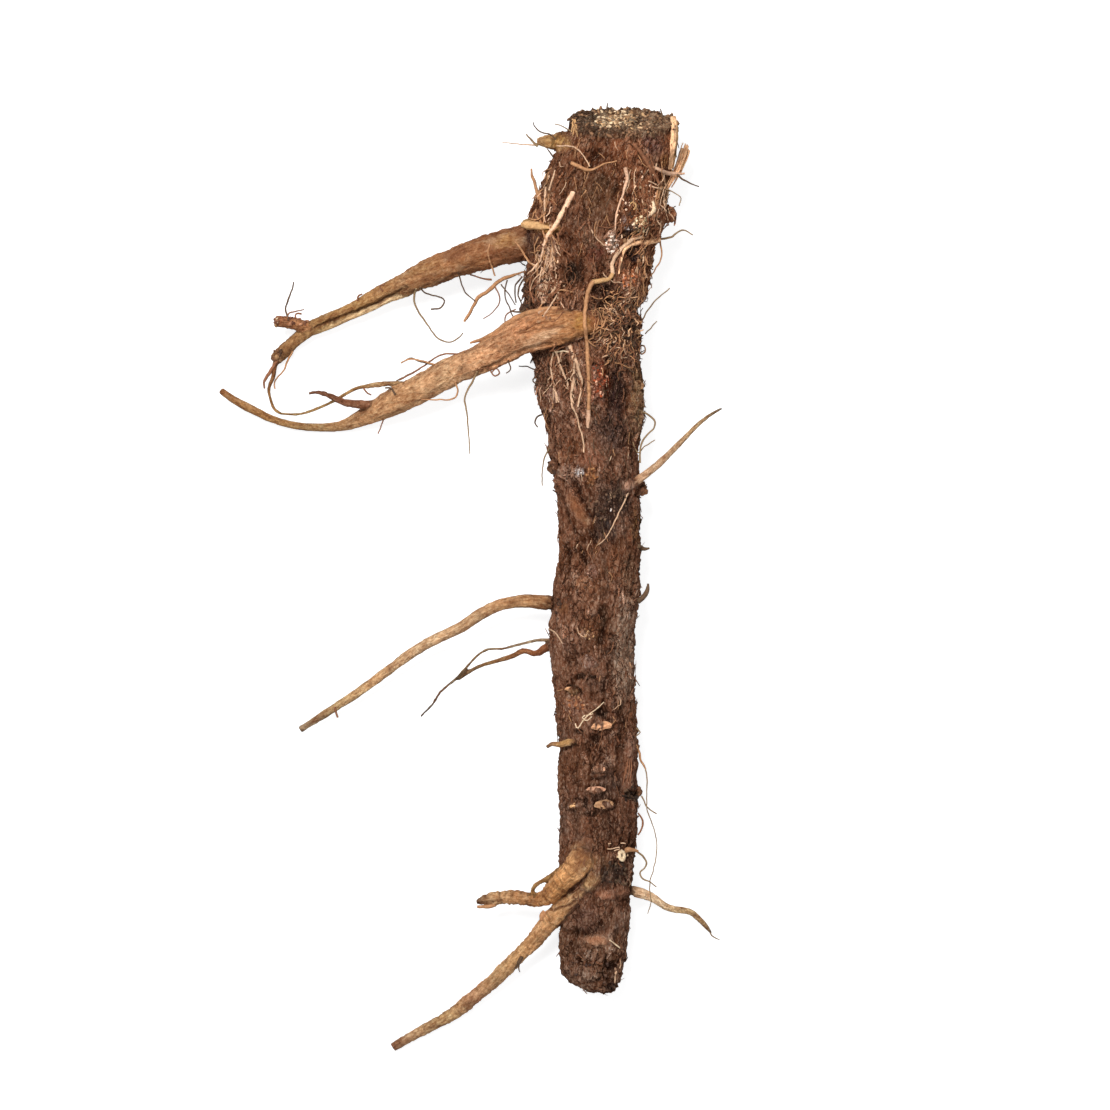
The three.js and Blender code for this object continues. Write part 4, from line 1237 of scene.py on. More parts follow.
# %% Rootlets
TONES = {
    "cream": "#dcc09e", "pale": "#cba585", "pink": "#cfa486", "tan": "#b0805a",
    "amber": "#c69a6a", "brown": "#85583e", "grey": "#8d7355", "dark": "#5c4634",
    "straw": "#edb98c", "peeled": "#e8bd9a",
}
ROOTLETS = [
    # tone, radius from base to tip, route
    ("peeled", (0.8, 0.8, 0.66, 0.52, 0.44, 0.36), [(-8, -24.6), (-9.6, -27.9), (-11.7, -31.5),
    (-13.5, -34.8), (-15.6, -37.5), (-16.8, -41.4), (-17.7, -44.7), (-19.2, -46.8),
     (-21.6, -49.2)]),
    ("pink", (0.62, 0.5, 0.4, 0.32, 0.28), [(7.5, -17.3), (8.1, -20.1), (7.2, -24),
    (6.3, -27), (5.1, -30.6), (4.5, -36)]),
    ("pale", (0.5, 0.6, 0.6, 0.6, 0.65), [(12.9, -38), (10.5, -38.4), (8.4, -39.9), (6, -42),
    (4.5, -44.1), (3.6, -46.8), (3.9, -49.2)]),
    ("amber", (0.6, 0.75, 0.75), [(3.9, -49.0), (2.6, -50.7), (0, -51.2), (-2.2, -51.5)]),
    ("tan", (0.7, 0.6, 0.55, 0.6, 0.55, 0.6), [(-2.0, -51.3), (-3.4, -54), (-4.2, -57.9),
    (-4.5, -60.9), (-4.5, -64.8), (-3.9, -69.6), (-3.6, -76.5), (-3.3, -84), (-3.5, -90)]),
    ("pink", (0.6, 0.75, 0.45), [(-3.4, -89), (-3.5, -92), (-3.6, -95.4)]),
    ("straw", (1.0, 0.8, 0.55, 0.4, 0.3), [(17.6, -38.7), (14.4, -39.6), (10.8, -39.9),
    (8.1, -41.1), (6.6, -44.1), (6, -46.8), (5.7, -49.2)]),
    ("pale", (0.35, 0.3, 0.3), [(12.9, -43.2), (12.8, -45.9), (11.1, -48.3), (11.4, -51.2)]),
    ("pale", (0.6, 0.55, 0.5, 0.4, 0.35), [(-9.2, -70.6), (-7.9, -73), (-6.3, -78.3),
    (-5.5, -81.5), (-6.1, -86.4), (-6.6, -89)]),
    ("pale", (0.45, 0.45, 0.35), [(-13.5, -71.9), (-12.3, -75.3), (-10.8, -79.5),
    (-9, -83.7)]),
    ("pale", (0.4, 0.35, 0.3), [(-13.9, -72.6), (-14.7, -77.1), (-13.9, -82.2),
    (-12.4, -87.6)]),
    ("pale", (0.55, 0.5, 0.4, 0.35, 0.3), [(-8.1, -73.8), (-7.8, -80.4), (-8.7, -87),
    (-7, -91.8), (-6.3, -94.5), (-5.1, -98.7), (-4.8, -102.8)]),
    ("cream", (0.35, 0.35), [(-13.5, -72.6), (-11, -72.4), (-8.7, -72.6)]),
    ("tan", (0.6, 0.6, 0.42, 0.3, 0.28), [(-8.5, -15.9), (-4.8, -17.6), (-2.4, -17.9),
    (1.2, -16.2), (5.1, -15.3)]),
    ("brown", (0.6, 0.62, 0.6, 0.45), [(10.2, -10.2), (13.5, -14.7), (15.9, -18.8),
    (17.9, -22.2)]),
    ("pink", (0.4, 0.6, 0.55, 0.35), [(15.9, -17), (19.7, -18.8), (23.4, -19.1),
    (25.5, -19.1)]),
    ("dark", (0.45, 0.3, 0.2), [(22.8, -19.1), (25.2, -21), (29.7, -23.1)]),
    ("grey", (0.4, 0.4, 0.3, 0.2), [(16.2, -39), (18.9, -38.7), (21.6, -38), (24.6, -36),
    (27.9, -37.5)]),
    ("tan", (0.35, 0.3, 0.25, 0.2), [(18, -39.3), (18.5, -42.3), (18.3, -44.7),
    (16.1, -48.6), (14.1, -51.3)]),
    ("grey", (0.2, 0.25, 0.25, 0.3), [(21, -53.4), (17.1, -56.7), (13.8, -60.9),
    (12.3, -63.9)]),
    ("grey", (0.2, 0.25, 0.25), [(17, -63.3), (15.6, -65), (13.5, -67.2)]),
    ("tan", (0.3, 0.3, 0.3), [(12.1, -70.6), (13.3, -71), (13.5, -72.4), (12.4, -73.2),
    (11.5, -72.2), (11.9, -70.9)]),
    ("pale", (0.35, 0.4, 0.3), [(9.2, -56.1), (7.4, -57.2), (5.1, -59.1)]),
    ("pale", (0.35, 0.35, 0.3), [(9, -58.5), (7.5, -60.6), (6.6, -63)]),
    ("tan", (0.35, 0.3), [(12.3, -54.6), (10.9, -55.4), (10.1, -56.9)]),
    ("dark", (0.2, 0.24, 0.26), [(-24.3, -76.8), (-21.4, -77.1), (-18.6, -78.3)]),
    ("dark", (0.3, 0.26), [(-18.6, -79.3), (-20.2, -81.2), (-18.6, -82.4)]),
    ("dark", (0.35, 0.35, 0.25), [(-17.2, -91.4), (-18.9, -92.2), (-19.5, -93.9),
    (-18.6, -95.1)]),
    ("grey", (0.3, 0.25, 0.2), [(-15, -101.4), (-16.5, -103.8), (-17.3, -108),
    (-17.4, -112.8)]),
    ("grey", (0.35, 0.35, 0.3, 0.35, 0.35), [(11.2, -89.8), (13.2, -90.6), (16.2, -93),
     (16.2, -95.4),
    (13.8, -97.8), (12.3, -100.8), (12, -105.9)]),
    ("pale", (0.3, 0.25, 0.25, 0.2), [(8.4, -114.9), (6.3, -119.7), (3, -126.3),
    (0.9, -129.3), (-0.9, -130.5)]),
    ("grey", (0.3, 0.25, 0.25), [(10.8, -185.4), (12.1, -186.6), (10.8, -187.8)]),
    ("tan", (0.4, 0.45, 0.4, 0.3), [(10.8, -190.5), (11.7, -192.3), (12.3, -195.2),
    (13.8, -197.7)]),
    ("grey", (0.25, 0.22, 0.2, 0.2, 0.2, 0.2, 0.15), [(13.6, -197.4), (14.1, -200.4),
    (14, -204.9), (14.1, -209.4), (15.3, -213.3), (16.8, -217.8), (17.1, -220.8), (16.8, -224.3),
     (15.6, -229.2), (15, -231.6), (15, -235.2), (15.3, -237.3), (14.4, -241.2)]),
    ("grey", (0.3, 0.25, 0.2), [(12.5, -205.8), (14.1, -209.1), (17, -211.2)]),
    ("brown", (0.3, 0.35, 0.3), [(11.4, -210.9), (12.8, -212.7), (12.6, -215.4),
    (11.4, -217.5)]),
    ("grey", (0.4, 0.35, 0.3, 0.3, 0.2), [(10.4, -221.9), (13.5, -224.7), (13.8, -226.8),
    (12, -228.8), (12.9, -230.7), (15, -231.6), (16.8, -233.1)]),
    ("pale", (0.35, 0.3, 0.22), [(-12.9, -10.8), (-9.6, -10.8), (-7, -11.5),
    (-4.6, -14.2), (-3.0, -17)]),
    ("dark", (0.3, 0.3, 0.2), [(-13.2, -8.9), (-15, -7.4), (-17.7, -6.6), (-19.5, -5.1),
    (-20.1, -3.6)]),
    ("grey", (0.25, 0.2), [(-8.4, -6.4), (-10.5, -5.4), (-12, -4.5), (-13.5, -4.2)]),
    ("dark", (0.3, 0.3, 0.2), [(-13.8, -14.4), (-15, -12.9), (-15.8, -11.6)]),
    ("pale", (0.3, 0.22, 0.14), [(-19, -10.6), (-24.6, -10.2), (-29.4, -9.6)]),
    ("grey", (0.5, 0.4, 0.25), [(-18.6, -10.8), (-20.1, -9.6), (-22.1, -7.2)]),
    ("tan", (0.35, 0.5, 0.5, 0.6), [(-20.6, -17.6), (-20.3, -19.8), (-19.4, -22.8),
    (-18.4, -26.5)]),
    ("tan", (0.2, 0.4, 0.5), [(-18, -22.6), (-18.2, -25), (-17.6, -28)]),
    ("pale", (0.3, 0.4, 0.4), [(-13.5, -18), (-14.7, -22.2), (-15.3, -24)]),
    ("pale", (0.35, 0.45, 0.4), [(-16.2, -23.1), (-16.6, -26.7), (-16.5, -30.3)]),
    ("cream", (0.5, 0.65, 0.5), [(15.8, -27.3), (16.1, -29.7), (15, -31.5)]),
    ("amber", (0.3, 0.4, 0.3), [(9.1, -28.2), (10.1, -27.6), (10.8, -28.8), (10, -29.9)]),
    ("brown", (0.5, 0.55, 0.5, 0.35), [(-96.8, -75.2), (-98.8, -78.3), (-100.2, -80.4),
     (-100.8, -81.9),
    (-100.6, -83.6)]),
    ("tan", (0.4, 0.35, 0.3, 0.25), [(-92.1, -72.3), (-93.6, -75), (-94.8, -78),
    (-96.9, -80.4), (-97.8, -82.2), (-97.5, -83.7)]),
    ("dark", (0.4, 0.35, 0.25), [(-93.4, -63.2), (-94, -60.9), (-94.2, -59.1), (-92.4, -54),
    (-91.8, -51.6)]),
    ("brown", (0.35, 0.3, 0.2), [(-93.8, -62.6), (-93.2, -61), (-90.9, -60.3), (-88.8, -59.9)]),
    ("brown", (0.35, 0.35), [(-89.4, -61.2), (-91.2, -61.1), (-91.3, -62.5), (-89.9, -62.8)]),
    ("brown", (0.35, 0.3, 0.25), [(-71.1, -83.3), (-70.2, -84.6), (-68.6, -85.5)]),
    ("dark", (0.4, 0.4, 0.3), [(-61.4, -85.4), (-62.6, -83.4), (-64.4, -83.4)]),
    ("brown", (0.3, 0.25, 0.2), [(-65.1, -93), (-65.7, -95.1), (-66.6, -97.2)]),
    ("dark", (0.3, 0.25, 0.25), [(-61.2, -81.3), (-57.6, -79.4), (-54, -77.7)]),
    ("dark", (0.25, 0.3, 0.3), [(-59.7, -75.9), (-56.9, -74.4), (-54, -75.5),
    (-49.5, -76.5)]),
    ("grey", (0.42, 0.36, 0.32, 0.28, 0.24), [(-55.2, -53.6), (-55.8, -56.7), (-55.2, -59.1),
     (-54, -61.2),
    (-51.6, -64.5), (-49.2, -68.1), (-45.6, -69.6), (-43.2, -68.9), (-41.1, -66.9)]),
    ("dark", (0.3, 0.28, 0.32, 0.34), [(-53.9, -53.2), (-52.2, -55.0), (-47.4, -56.4),
     (-46.8, -57.9),
    (-48.3, -59.6), (-50.7, -59.7)]),
    ("dark", (0.3, 0.26, 0.22), [(-42.6, -48.6), (-42, -50.4), (-40.5, -54.6), (-37.5, -57.3)]),
    ("brown", (0.3, 0.3, 0.4), [(-39, -49.5), (-35.7, -50.4), (-32.4, -51)]),
    ("tan", (0.3, 0.55, 0.6, 0.6, 0.5, 0.45), [(-22.3, -48.3), (-24.6, -49.1), (-29.7, -51),
     (-33.6, -54.3),
    (-36.6, -56.4), (-38.4, -59.7), (-40.8, -63.6)]),
    ("brown", (0.28, 0.24, 0.18), [(-31.5, -53.1), (-30, -57), (-32, -60.5), (-35.1, -62.7)]),
    ("dark", (0.28, 0.24, 0.18), [(-29.7, -52.2), (-27.2, -55.6), (-25.4, -58.4)]),
    ("dark", (0.28, 0.26, 0.22), [(-27.9, -51), (-28.5, -55.5), (-27, -59.7), (-25.8, -63)]),
    ("dark", (0.32, 0.28, 0.24), [(-23.4, -50.1), (-25.5, -53.1), (-25.2, -57.9)]),
    ("brown", (0.26, 0.28, 0.24), [(-25.2, -59.7), (-28.2, -61.5), (-28.5, -64.5)]),
    ("tan", (0.35, 0.35, 0.3), [(-33, -40.2), (-33.6, -43.2), (-32.7, -46.2),
    (-31.5, -49.8)]),
    ("tan", (0.35, 0.4, 0.35), [(-25.8, -39.3), (-24, -41.1), (-21.9, -44.7),
    (-19.5, -47.1)]),
    ("pale", (0.3, 0.35, 0.3), [(-22.7, -43.2), (-21.3, -45.6), (-19.2, -46.8)]),
    ("brown", (0.35, 0.4, 0.35), [(-19.8, -48.6), (-20.7, -50.4), (-21, -53.4),
    (-19.8, -57.6)]),
    ("pale", (0.3, 0.4, 0.35), [(-10.5, -52.8), (-12.9, -53.1), (-15, -55.1),
    (-16.8, -57.9)]),
    ("tan", (0.4, 0.7, 0.9, 1.0, 0.9, 0.5), [(-38.9, -70), (-32.6, -67.6), (-27.3, -63.9),
    (-22.1, -61.3), (-15.7, -59.7), (-12, -59.4)]),
    ("tan", (0.3, 0.3, 0.35), [(-59.7, -75.8), (-57, -74.7), (-52.2, -75.6),
    (-49.5, -76.5)]),
    ("brown", (0.3, 0.35, 0.3), [(-60.2, -81), (-54.6, -78), (-50.4, -75), (-46.8, -73.2),
    (-42.6, -73.2)]),
    ("grey", (0.4, 0.35, 0.3, 0.25, 0.2), [(-36.9, -78.3), (-38.2, -81.4), (-40.5, -85.8),
     (-40.1, -90),
    (-39.6, -94.4), (-39, -103.2)]),
    ("brown", (0.4, 0.4), [(-79.6, -179.2), (-78.6, -182.2)]),
    ("grey", (0.3, 0.25, 0.15), [(33.0, -246.7), (33.8, -247.9), (35.9, -248.9)]),
    ("dark", (0.55, 0.6, 0.4, 0.2), [(-23.4, -254), (-24.2, -255.3), (-24.9, -256.8),
     (-25.8, -257.6)]),
    ("dark", (0.4, 0.3, 0.2), [(-24.0, -255.0), (-24.4, -257.3), (-24.0, -258.6)]),
    ("cream", (0.3, 0.3, 0.24), [(2.9, -249), (4.4, -250.1), (6, -251.5)]),
    ("pale", (0.26, 0.3), [(6, -254.8), (6.2, -256.1), (6, -257.5)]),
    ("pale", (0.36, 0.45, 0.3), [(4.9, -258.3), (4.5, -260), (4.4, -261.7)]),
    ("cream", (0.16, 0.2, 0.28, 0.26, 0.22), [(1.2, -177.6), (-1.2, -179.8), (-3.2, -181.2),
    (-5.2, -183.4), (-6.6, -185.4), (-7.4, -184)]),
    ("cream", (0.2, 0.24, 0.2), [(-2.1, -181.1), (-3.6, -181.5), (-5.3, -182.1),
    (-4.2, -183.2), (-2.4, -182)]),
    ("dark", (0.4, 0.3, 0.2), [(22.2, -11.6), (22.6, -12.9), (22.3, -14)]),
    ("dark", (0.45, 0.35, 0.2), [(2.1, -0.8), (2.2, 1.1), (2.1, 2.1)]),
    ("dark", (0.4, 0.35, 0.2), [(18.9, -2.2), (18.4, -0.9), (18.2, 0.3)]),
    ("brown", (0.3, 0.3, 0.25), [(-10.9, -35.1), (-12.6, -38), (-11.4, -41.4),
    (-8.5, -44)]),
    ("pale", (0.2, 0.25, 0.2), [(-2.6, -36), (-1.1, -38.4), (1.2, -40.6)]),
    ("tan", (0.3, 0.35, 0.3), [(-18.6, -60), (-15.9, -56.4), (-12, -54), (-8.4, -54.6)]),
    ("pale", (0.3, 0.35, 0.3), [(-17, -62), (-14.4, -58), (-12.4, -54.6)]),
    ("amber", (0.9, 1.3, 1.25, 0.9, 0.4), [(-23.4, -34.5), (-21.4, -34.5), (-19, -34.8),
    (-17, -35.1), (-15.2, -35.4)]),
    ("dark", (0.8, 0.7, 0.4), [(11.4, -147.6), (13.3, -145.8), (14.3, -143.8), (14.4, -142)]),
    ("brown", (0.3, 0.3, 0.3, 0.25), [(-33.5, -77), (-31.8, -79.8), (-30.2, -78.9), (-31, -77.6),
    (-32.6, -78.8)]),
    ("tan", (0.35, 0.35, 0.3, 0.25), [(-43.4, -81.6), (-42.7, -84.5), (-44.3, -86.7),
    (-48.6, -86.9), (-53.7, -86.8)]),
    ("brown", (0.35, 0.4, 0.3), [(-72.8, -57.4), (-72.6, -55.8), (-71.2, -55.2)]),
    ("brown", (0.35, 0.35, 0.25), [(-65.2, -54.4), (-66, -52.8), (-64.4, -52.3)]),
    ("dark", (0.3, 0.25, 0.2), [(-27.6, -75), (-26.7, -77.7), (-28.2, -78.9)]),
    ("grey", (0.3, 0.25, 0.2), [(9.9, -99.6), (11.4, -102.9), (13.5, -100.8), (16.5, -99)]),
    ("pale", (0.28, 0.28, 0.2), [(-15.2, -155.6), (-13.2, -157), (-11.2, -160)]),
    ("grey", (0.25, 0.2, 0.2), [(19.4, -23.6), (21.9, -24.6), (24.3, -26.4), (23.7, -28.8)]),
    ("dark", (0.2, 0.2), [(19.8, -30.9), (22.8, -28.8)]),
    ("tan", (0.8, 0.75, 0.6, 0.5), [(7.4, -222.3), (8.8, -221.9), (10.2, -222), (11.2, -222.4)]),
    ("tan", (0.8, 0.9, 0.55), [(-16.4, -240.4), (-17.3, -241.6), (-17.7, -243.2)]),
    ("tan", (0.55, 0.6, 0.45), [(-31.2, -238.4), (-34, -239), (-36.9, -239)]),
    ("dark", (0.7, 0.6, 0.35), [(11.6, -130.8), (13.2, -131.6), (14.8, -131.5)]),
    ("brown", (0.2, 0.22, 0.2), [(-3.9, -148.6), (-4.4, -150.6), (-3.4, -152.6), (-2.4, -150.4),
    (-3.2, -148.5)]),
    ("pale", (0.15, 0.17, 0.14), [(-6.8, -155.4), (-6, -157.4), (-4.4, -158), (-3.6, -156.6)]),
    ("pale", (0.3, 0.3, 0.26), [(-10, -81.5), (-8.9, -84.8), (-8, -88)]),
    ("dark", (0.4, 0.35, 0.25), [(-20.6, -49.6), (-23.6, -51.6), (-24.6, -55.4), (-23.4, -58.2)]),
    ("dark", (0.45, 0.4, 0.3), [(-21, -58.4), (-23.8, -60.6), (-27, -60.2)]),
]
by_tone = {tone: [] for tone in TONES}
laid = []
for tone, radii, route in ROOTLETS:
    laid.append(lay(route, radii, others=laid))
    by_tone[tone].append(laid[-1])
rootlet_parts = draw_by_tone("rootlets", by_tone)
print(len(ROOTLETS), "rootlets drawn")

# %% [markdown]
# ## Fine hair that clings to the bark
#
# Besides the rootlets there is a fuzz of finer hair, thickest in the hollow between the two
# big side roots. No one hair matters, so they grow by rule: each starts on the bark, sets off
# in its zone's direction, turns a little at every step and stays close to the surface. The
# dice are seeded, so they grow the same each time.

# %% Hair
HAIR_STEP = 0.9
EVERYWHERE = (("brown", 130), ("tan", 70), ("dark", 60), ("pale", 30))
HAIR_ZONES = [
    # tone, how many, middle x and y, width, height, length, radius, stands off, direction
    ("brown", 84, 5, -66, 14, 22, 11, 0.17, 1.8, None),
    ("dark", 26, -24, -53, 10, 12, 9, 0.15, 5.0, None),
    ("brown", 16, -23, -54, 10, 14, 9, 0.15, 4.0, None),
    ("brown", 14, 13, -62, 5, 22, 7, 0.15, 3.0, None),
    ("dark", 10, 13.5, -70, 5, 16, 6, 0.14, 3.0, None),
    ("dark", 10, -16, -80, 5, 22, 6, 0.15, 3.0, None),
    ("tan", 80, 5, -65, 14, 22, 9, 0.2, 2.4, None),
    ("dark", 60, 5, -66, 13, 22, 9, 0.2, 1.2, None),
    ("pale", 24, 6, -66, 13, 20, 7, 0.2, 2.4, None),
    ("straw", 14, 7, -66, 12, 20, 6, 0.2, 2.6, None),
    ("peeled", 26, 11, -31, 13, 24, 2.6, 0.2, 0.8, -110),
    ("peeled", 12, -17, -26, 5, 22, 4, 0.18, 0.9, -100),
    ("peeled", 10, -15, -47, 5, 18, 3, 0.2, 0.9, -95),
    ("pale", 26, 11.5, -58, 9, 26, 9, 0.19, 1.6, -120),
    ("brown", 60, 12, -36, 14, 32, 8, 0.18, 1.2, -100),
    ("pale", 18, 17, -26, 8, 22, 6, 0.2, 1.2, -95),
    ("tan", 40, 13, -45, 10, 22, 8, 0.18, 1.2, -100),
    ("pale", 18, -15.5, -44, 7, 30, 8, 0.2, 1.0, -95),
    ("tan", 40, -16.5, -32, 8, 36, 8, 0.18, 1.1, -100),
    ("brown", 34, -12, -55, 12, 12, 9, 0.18, 1.4, None),
    ("pale", 16, -10, -76, 12, 12, 8, 0.15, 1.0, -90),
    ("brown", 60, -9, -75, 14, 14, 8, 0.17, 1.1, -90),
    ("tan", 34, 0, -20, 26, 30, 7, 0.12, 0.5, -90),
    ("dark", 40, 4, -100, 20, 50, 6, 0.13, 0.6, -90),
    ("pale", 7, 0, -110, 22, 60, 5, 0.12, 0.5, -90),
    ("tan", 16, -1, -160, 22, 80, 4, 0.12, 0.5, -90),
    ("brown", 50, -1, -190, 20, 140, 5, 0.13, 0.6, -90),
    ("pale", 4, 5, -222, 8, 6, 4, 0.16, 1.0, 20),
]


def grow_hair(start, heading, length, radius, off, curl=0.24):
    """A hair that turns as it goes and stays within `off` of the surface."""
    spot = Vector(start)
    rows = []
    for step in range(int(length / HAIR_STEP)):
        rows.append([*spot, radius * (1 - 0.5 * step * HAIR_STEP / length)])
        turn = Vector([dice.gauss(0, curl) for _ in range(3)])
        heading = (heading + turn).normalized()
        spot = spot + HAIR_STEP * heading
        near, out, _, _ = surface.find_nearest(spot)
        away = (spot - near).dot(out)
        spot = near + out * min(max(away, 0.6 * radius), off)
        spot.z = max(spot.z, 1.1 * radius)
    return np.array(rows)


def spot_in(x, y, width, height):
    """A random spot in an oval."""
    turn = dice.uniform(0, 2 * math.pi)
    out = math.sqrt(dice.uniform(0, 1)) / 2
    return (x + width * out * math.cos(turn), y + height * out * math.sin(turn))


hair = {tone: [] for tone in TONES}
for tone, count, x, y, width, height, length, radius, off, direction in HAIR_ZONES:
    for _ in range(count):
        start = drop_or_nearest(spot_in(x, y, width, height))
        angle = dice.uniform(0, 360) if direction is None else direction + dice.gauss(0, 28)
        heading = Vector((math.cos(math.radians(angle)), math.sin(math.radians(angle)), 0))
        reach = length * dice.uniform(0.5, 1.3)
        thick = radius * dice.uniform(0.7, 1.35)
        curl = 0.42 if direction is None else 0.2
        hair[tone].append(grow_hair(start, heading, reach, thick, off, curl))

# Hair along the whole taproot is sparser below the side roots, and none is at the two ends.
taproot_points = np.nonzero((lines.root[nearest] == 0) & (cut < 0.1))[0]
for tone, count in EVERYWHERE:
    for _ in range(count):
        start = points[dice.choice(taproot_points)]
        if start[1] < -105 and dice.random() < 0.6:
            continue
        if start[1] > -7 or start[1] < -234:
            continue
        heading = Vector((dice.gauss(0, 0.3), -1, dice.gauss(0, 0.3)))
        hair[tone].append(grow_hair(start, heading, dice.uniform(3, 9), 0.15, 0.8))
hair_parts = draw_by_tone("hair", hair)
print(sum(len(strands) for strands in hair.values()), "hairs grown")

# %% [markdown]
# ## Loose bits: one model, many copies
#
# Flakes of bark, crumbs and broken rootlet stubs are separate little bodies on the real root,
# so they are modelled on their own. Each kind is modelled once: a primitive is shaped in edit
# mode and roughened with a Displace modifier. Copies are then set on the bark, each turned
# with the grain and at its own size, and joined into one mesh per kind.

# %% Models of a flake, a crumb, a stub and a ring


def resize_where(chosen, **settings):
    """Resizes the part of the active mesh that a rule chooses."""
    for vertex in bpy.context.active_object.data.vertices:
        vertex.select = chosen(vertex.co)
    edit(bpy.ops.transform.resize, everything=False, **settings)


def roughened(name, strength, size):
    """Finishes a model: roughens it and returns its points and faces."""
    made = bpy.context.active_object
    texture = bpy.data.textures.new(name + " noise", "CLOUDS")
    texture.noise_scale = size
    modify("roughen", "DISPLACE", texture=texture, strength=strength, mid_level=0.5)
    spots = np.array([vertex.co[:] for vertex in made.data.vertices])
    faces = [tuple(polygon.vertices) for polygon in made.data.polygons]
    bpy.ops.object.delete()
    return spots, faces


def flake_model():
    """A sliver of bark, 1 long and 1 wide, that thins out towards its far end."""
    bpy.ops.mesh.primitive_cube_add(size=1)
    edit(bpy.ops.mesh.subdivide, number_cuts=1, smoothness=0.5)
    resize_where(lambda spot: spot.y > 0.3, value=(0.45, 1.15, 0.4))
    return roughened("flake", 0.35, 0.5)


def crumb_model():
    """A lumpy grain, 1 across."""
    bpy.ops.mesh.primitive_cube_add(size=0.75)
    edit(bpy.ops.mesh.subdivide, number_cuts=1, smoothness=0.9)
    return roughened("crumb", 0.5, 0.4)


def stub_model():
    """The broken base of a rootlet: a flat-topped oval body, 1 across."""
    bpy.ops.mesh.primitive_uv_sphere_add(segments=28, ring_count=18, radius=0.5)
    resize_where(lambda spot: spot.z > 0.28, value=(1.15, 1.15, 0.35))
    sides = {"value": (1.04, 0.78, 0.75), "center_override": (0, 0, 0)}
    resize_where(lambda spot: abs(spot.x) > 0.3, **sides)
    return roughened("stub", 0.26, 0.22)


def ring_model():
    """A rootlet's hollow broken end: a rough ring, 1 across."""
    bpy.ops.mesh.primitive_torus_add(
        major_segments=32, minor_segments=14, major_radius=0.33, minor_radius=0.17
    )
    return roughened("ring", 0.16, 0.2)


bpy.ops.object.select_all(action="DESELECT")
FLAKE = flake_model()
CRUMB = crumb_model()
STUB = stub_model()
RING = ring_model()
print("faces of each model:", [len(model[1]) for model in (FLAKE, CRUMB, STUB, RING)])

# %% Setting copies on the bark
turns = np.random.default_rng(5)


def turned_axes(first, second, angle):
    """Two axes turned by an angle in their own plane."""
    c, s = np.cos(angle)[:, None], np.sin(angle)[:, None]
    return c * first + s * second, c * second - s * first


def frames_at(at, spin, tilt):
    """Axes for copies at the mesh's points: across, along the grain and out, then turned."""
    out = normals[at]
    along = lines.along[nearest[at]]
    along = along - out * (along * out).sum(1)[:, None]
    along /= np.linalg.norm(along, axis=1)[:, None] + 1e-9
    across, along = turned_axes(np.cross(along, out), along, spin)
    along, out = turned_axes(along, out, tilt)
    return np.stack([across, along, out], axis=1)


def scatter(name, model, places, axes, sizes, shades, streak, contrast=0.3):
    """One mesh of copies of a model, painted in streaks that run along the longest size."""
    spots, faces = model
    shape = spots[None] * sizes[:, None, :]
    copies = np.einsum("nvk,nkd->nvd", shape, axes) + places[:, None, :]
    flat = copies.reshape(-1, 3)
    flat[:, 2] = np.maximum(flat[:, 2], 0)
    every = [tuple(i + len(spots) * n for i in face) for n in range(len(places)) for face in faces]
    mesh = bpy.data.meshes.new(name)
    mesh.from_pydata(((flat + ORIGIN) * MM).tolist(), [], every)
    mesh.update()
    made = new_object(name, mesh)
    shades = np.repeat(shades, len(spots), axis=0)
    streaks = clouds(shape.reshape(-1, 3) + 7 * places.repeat(len(spots), axis=0), streak, 3, 41)
    shades = shades * (1 + contrast * streaks)[:, None]
    store(mesh, "paint", shades.clip(DARKEST, 1), "FLOAT_COLOR")
    store(mesh, "grain", flat, "FLOAT_VECTOR")
    edit(bpy.ops.mesh.normals_make_consistent, inside=False)
    return made


def land(spot):
    """The mesh's point under a drawing-plane spot; beside the root, the nearest one."""
    return int(((points - np.array(drop_or_nearest(spot))) ** 2).sum(1).argmin())


print("the middle of the crown is at point", land((2, -40)), "of", len(points))

# %% [markdown]
# ## Flakes of bark
#
# Dry bark comes off in flakes that stand a little proud and throw small sharp shadows. They
# lie with the grain all over the taproot, and stand thickest on the rough stretches: round the
# side roots and on the ridges.

# %% Flakes
FLAKES = 2300
on_bark = np.nonzero((skin < 0.15) & (above_cut < -1.5) & (points[:, 2] > 1.0))[0]
down = -points[on_bark, 1]
rough = 0.35 + between(down, 30, 50, 90, 110)
rough -= 0.2 * ramp(down, 230, 240)
rough += 0.6 * ramp(relief[on_bark], 0.2, 0.8)
at = turns.choice(on_bark, FLAKES, replace=False, p=rough / rough.sum())
long = turns.uniform(1.0, 3.4, FLAKES)
wide = long * turns.uniform(0.28, 0.55, FLAKES)
sizes = np.column_stack([wide, long, turns.uniform(0.2, 0.5, FLAKES)])
spin = turns.normal(0, 0.35, FLAKES) + math.pi * turns.integers(0, 2, FLAKES)
axes = frames_at(at, spin, turns.uniform(0.02, 0.34, FLAKES))
shades = paint[at] * turns.uniform(0.6, 1.75, FLAKES)[:, None]
places = points[at] + 0.12 * normals[at]
flakes = scatter("bark_flakes", FLAKE, places, axes, sizes, shades, [0.5, 3, 0.5])
flakes.data.materials.append(bark)
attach(flakes, "root")
bpy.ops.object.shade_flat()
print(FLAKES, "flakes")

# %% [markdown]
# ## Crumbs
#
# The sawn wood has dried to crumbs, pale inside and dark at the rim. Soil and bark have left
# more of them in the hollows. Some are tan or nearly white: dry pith, broken rootlet bases and
# a trace of mould. Each group below is a patch on the drawing plane.

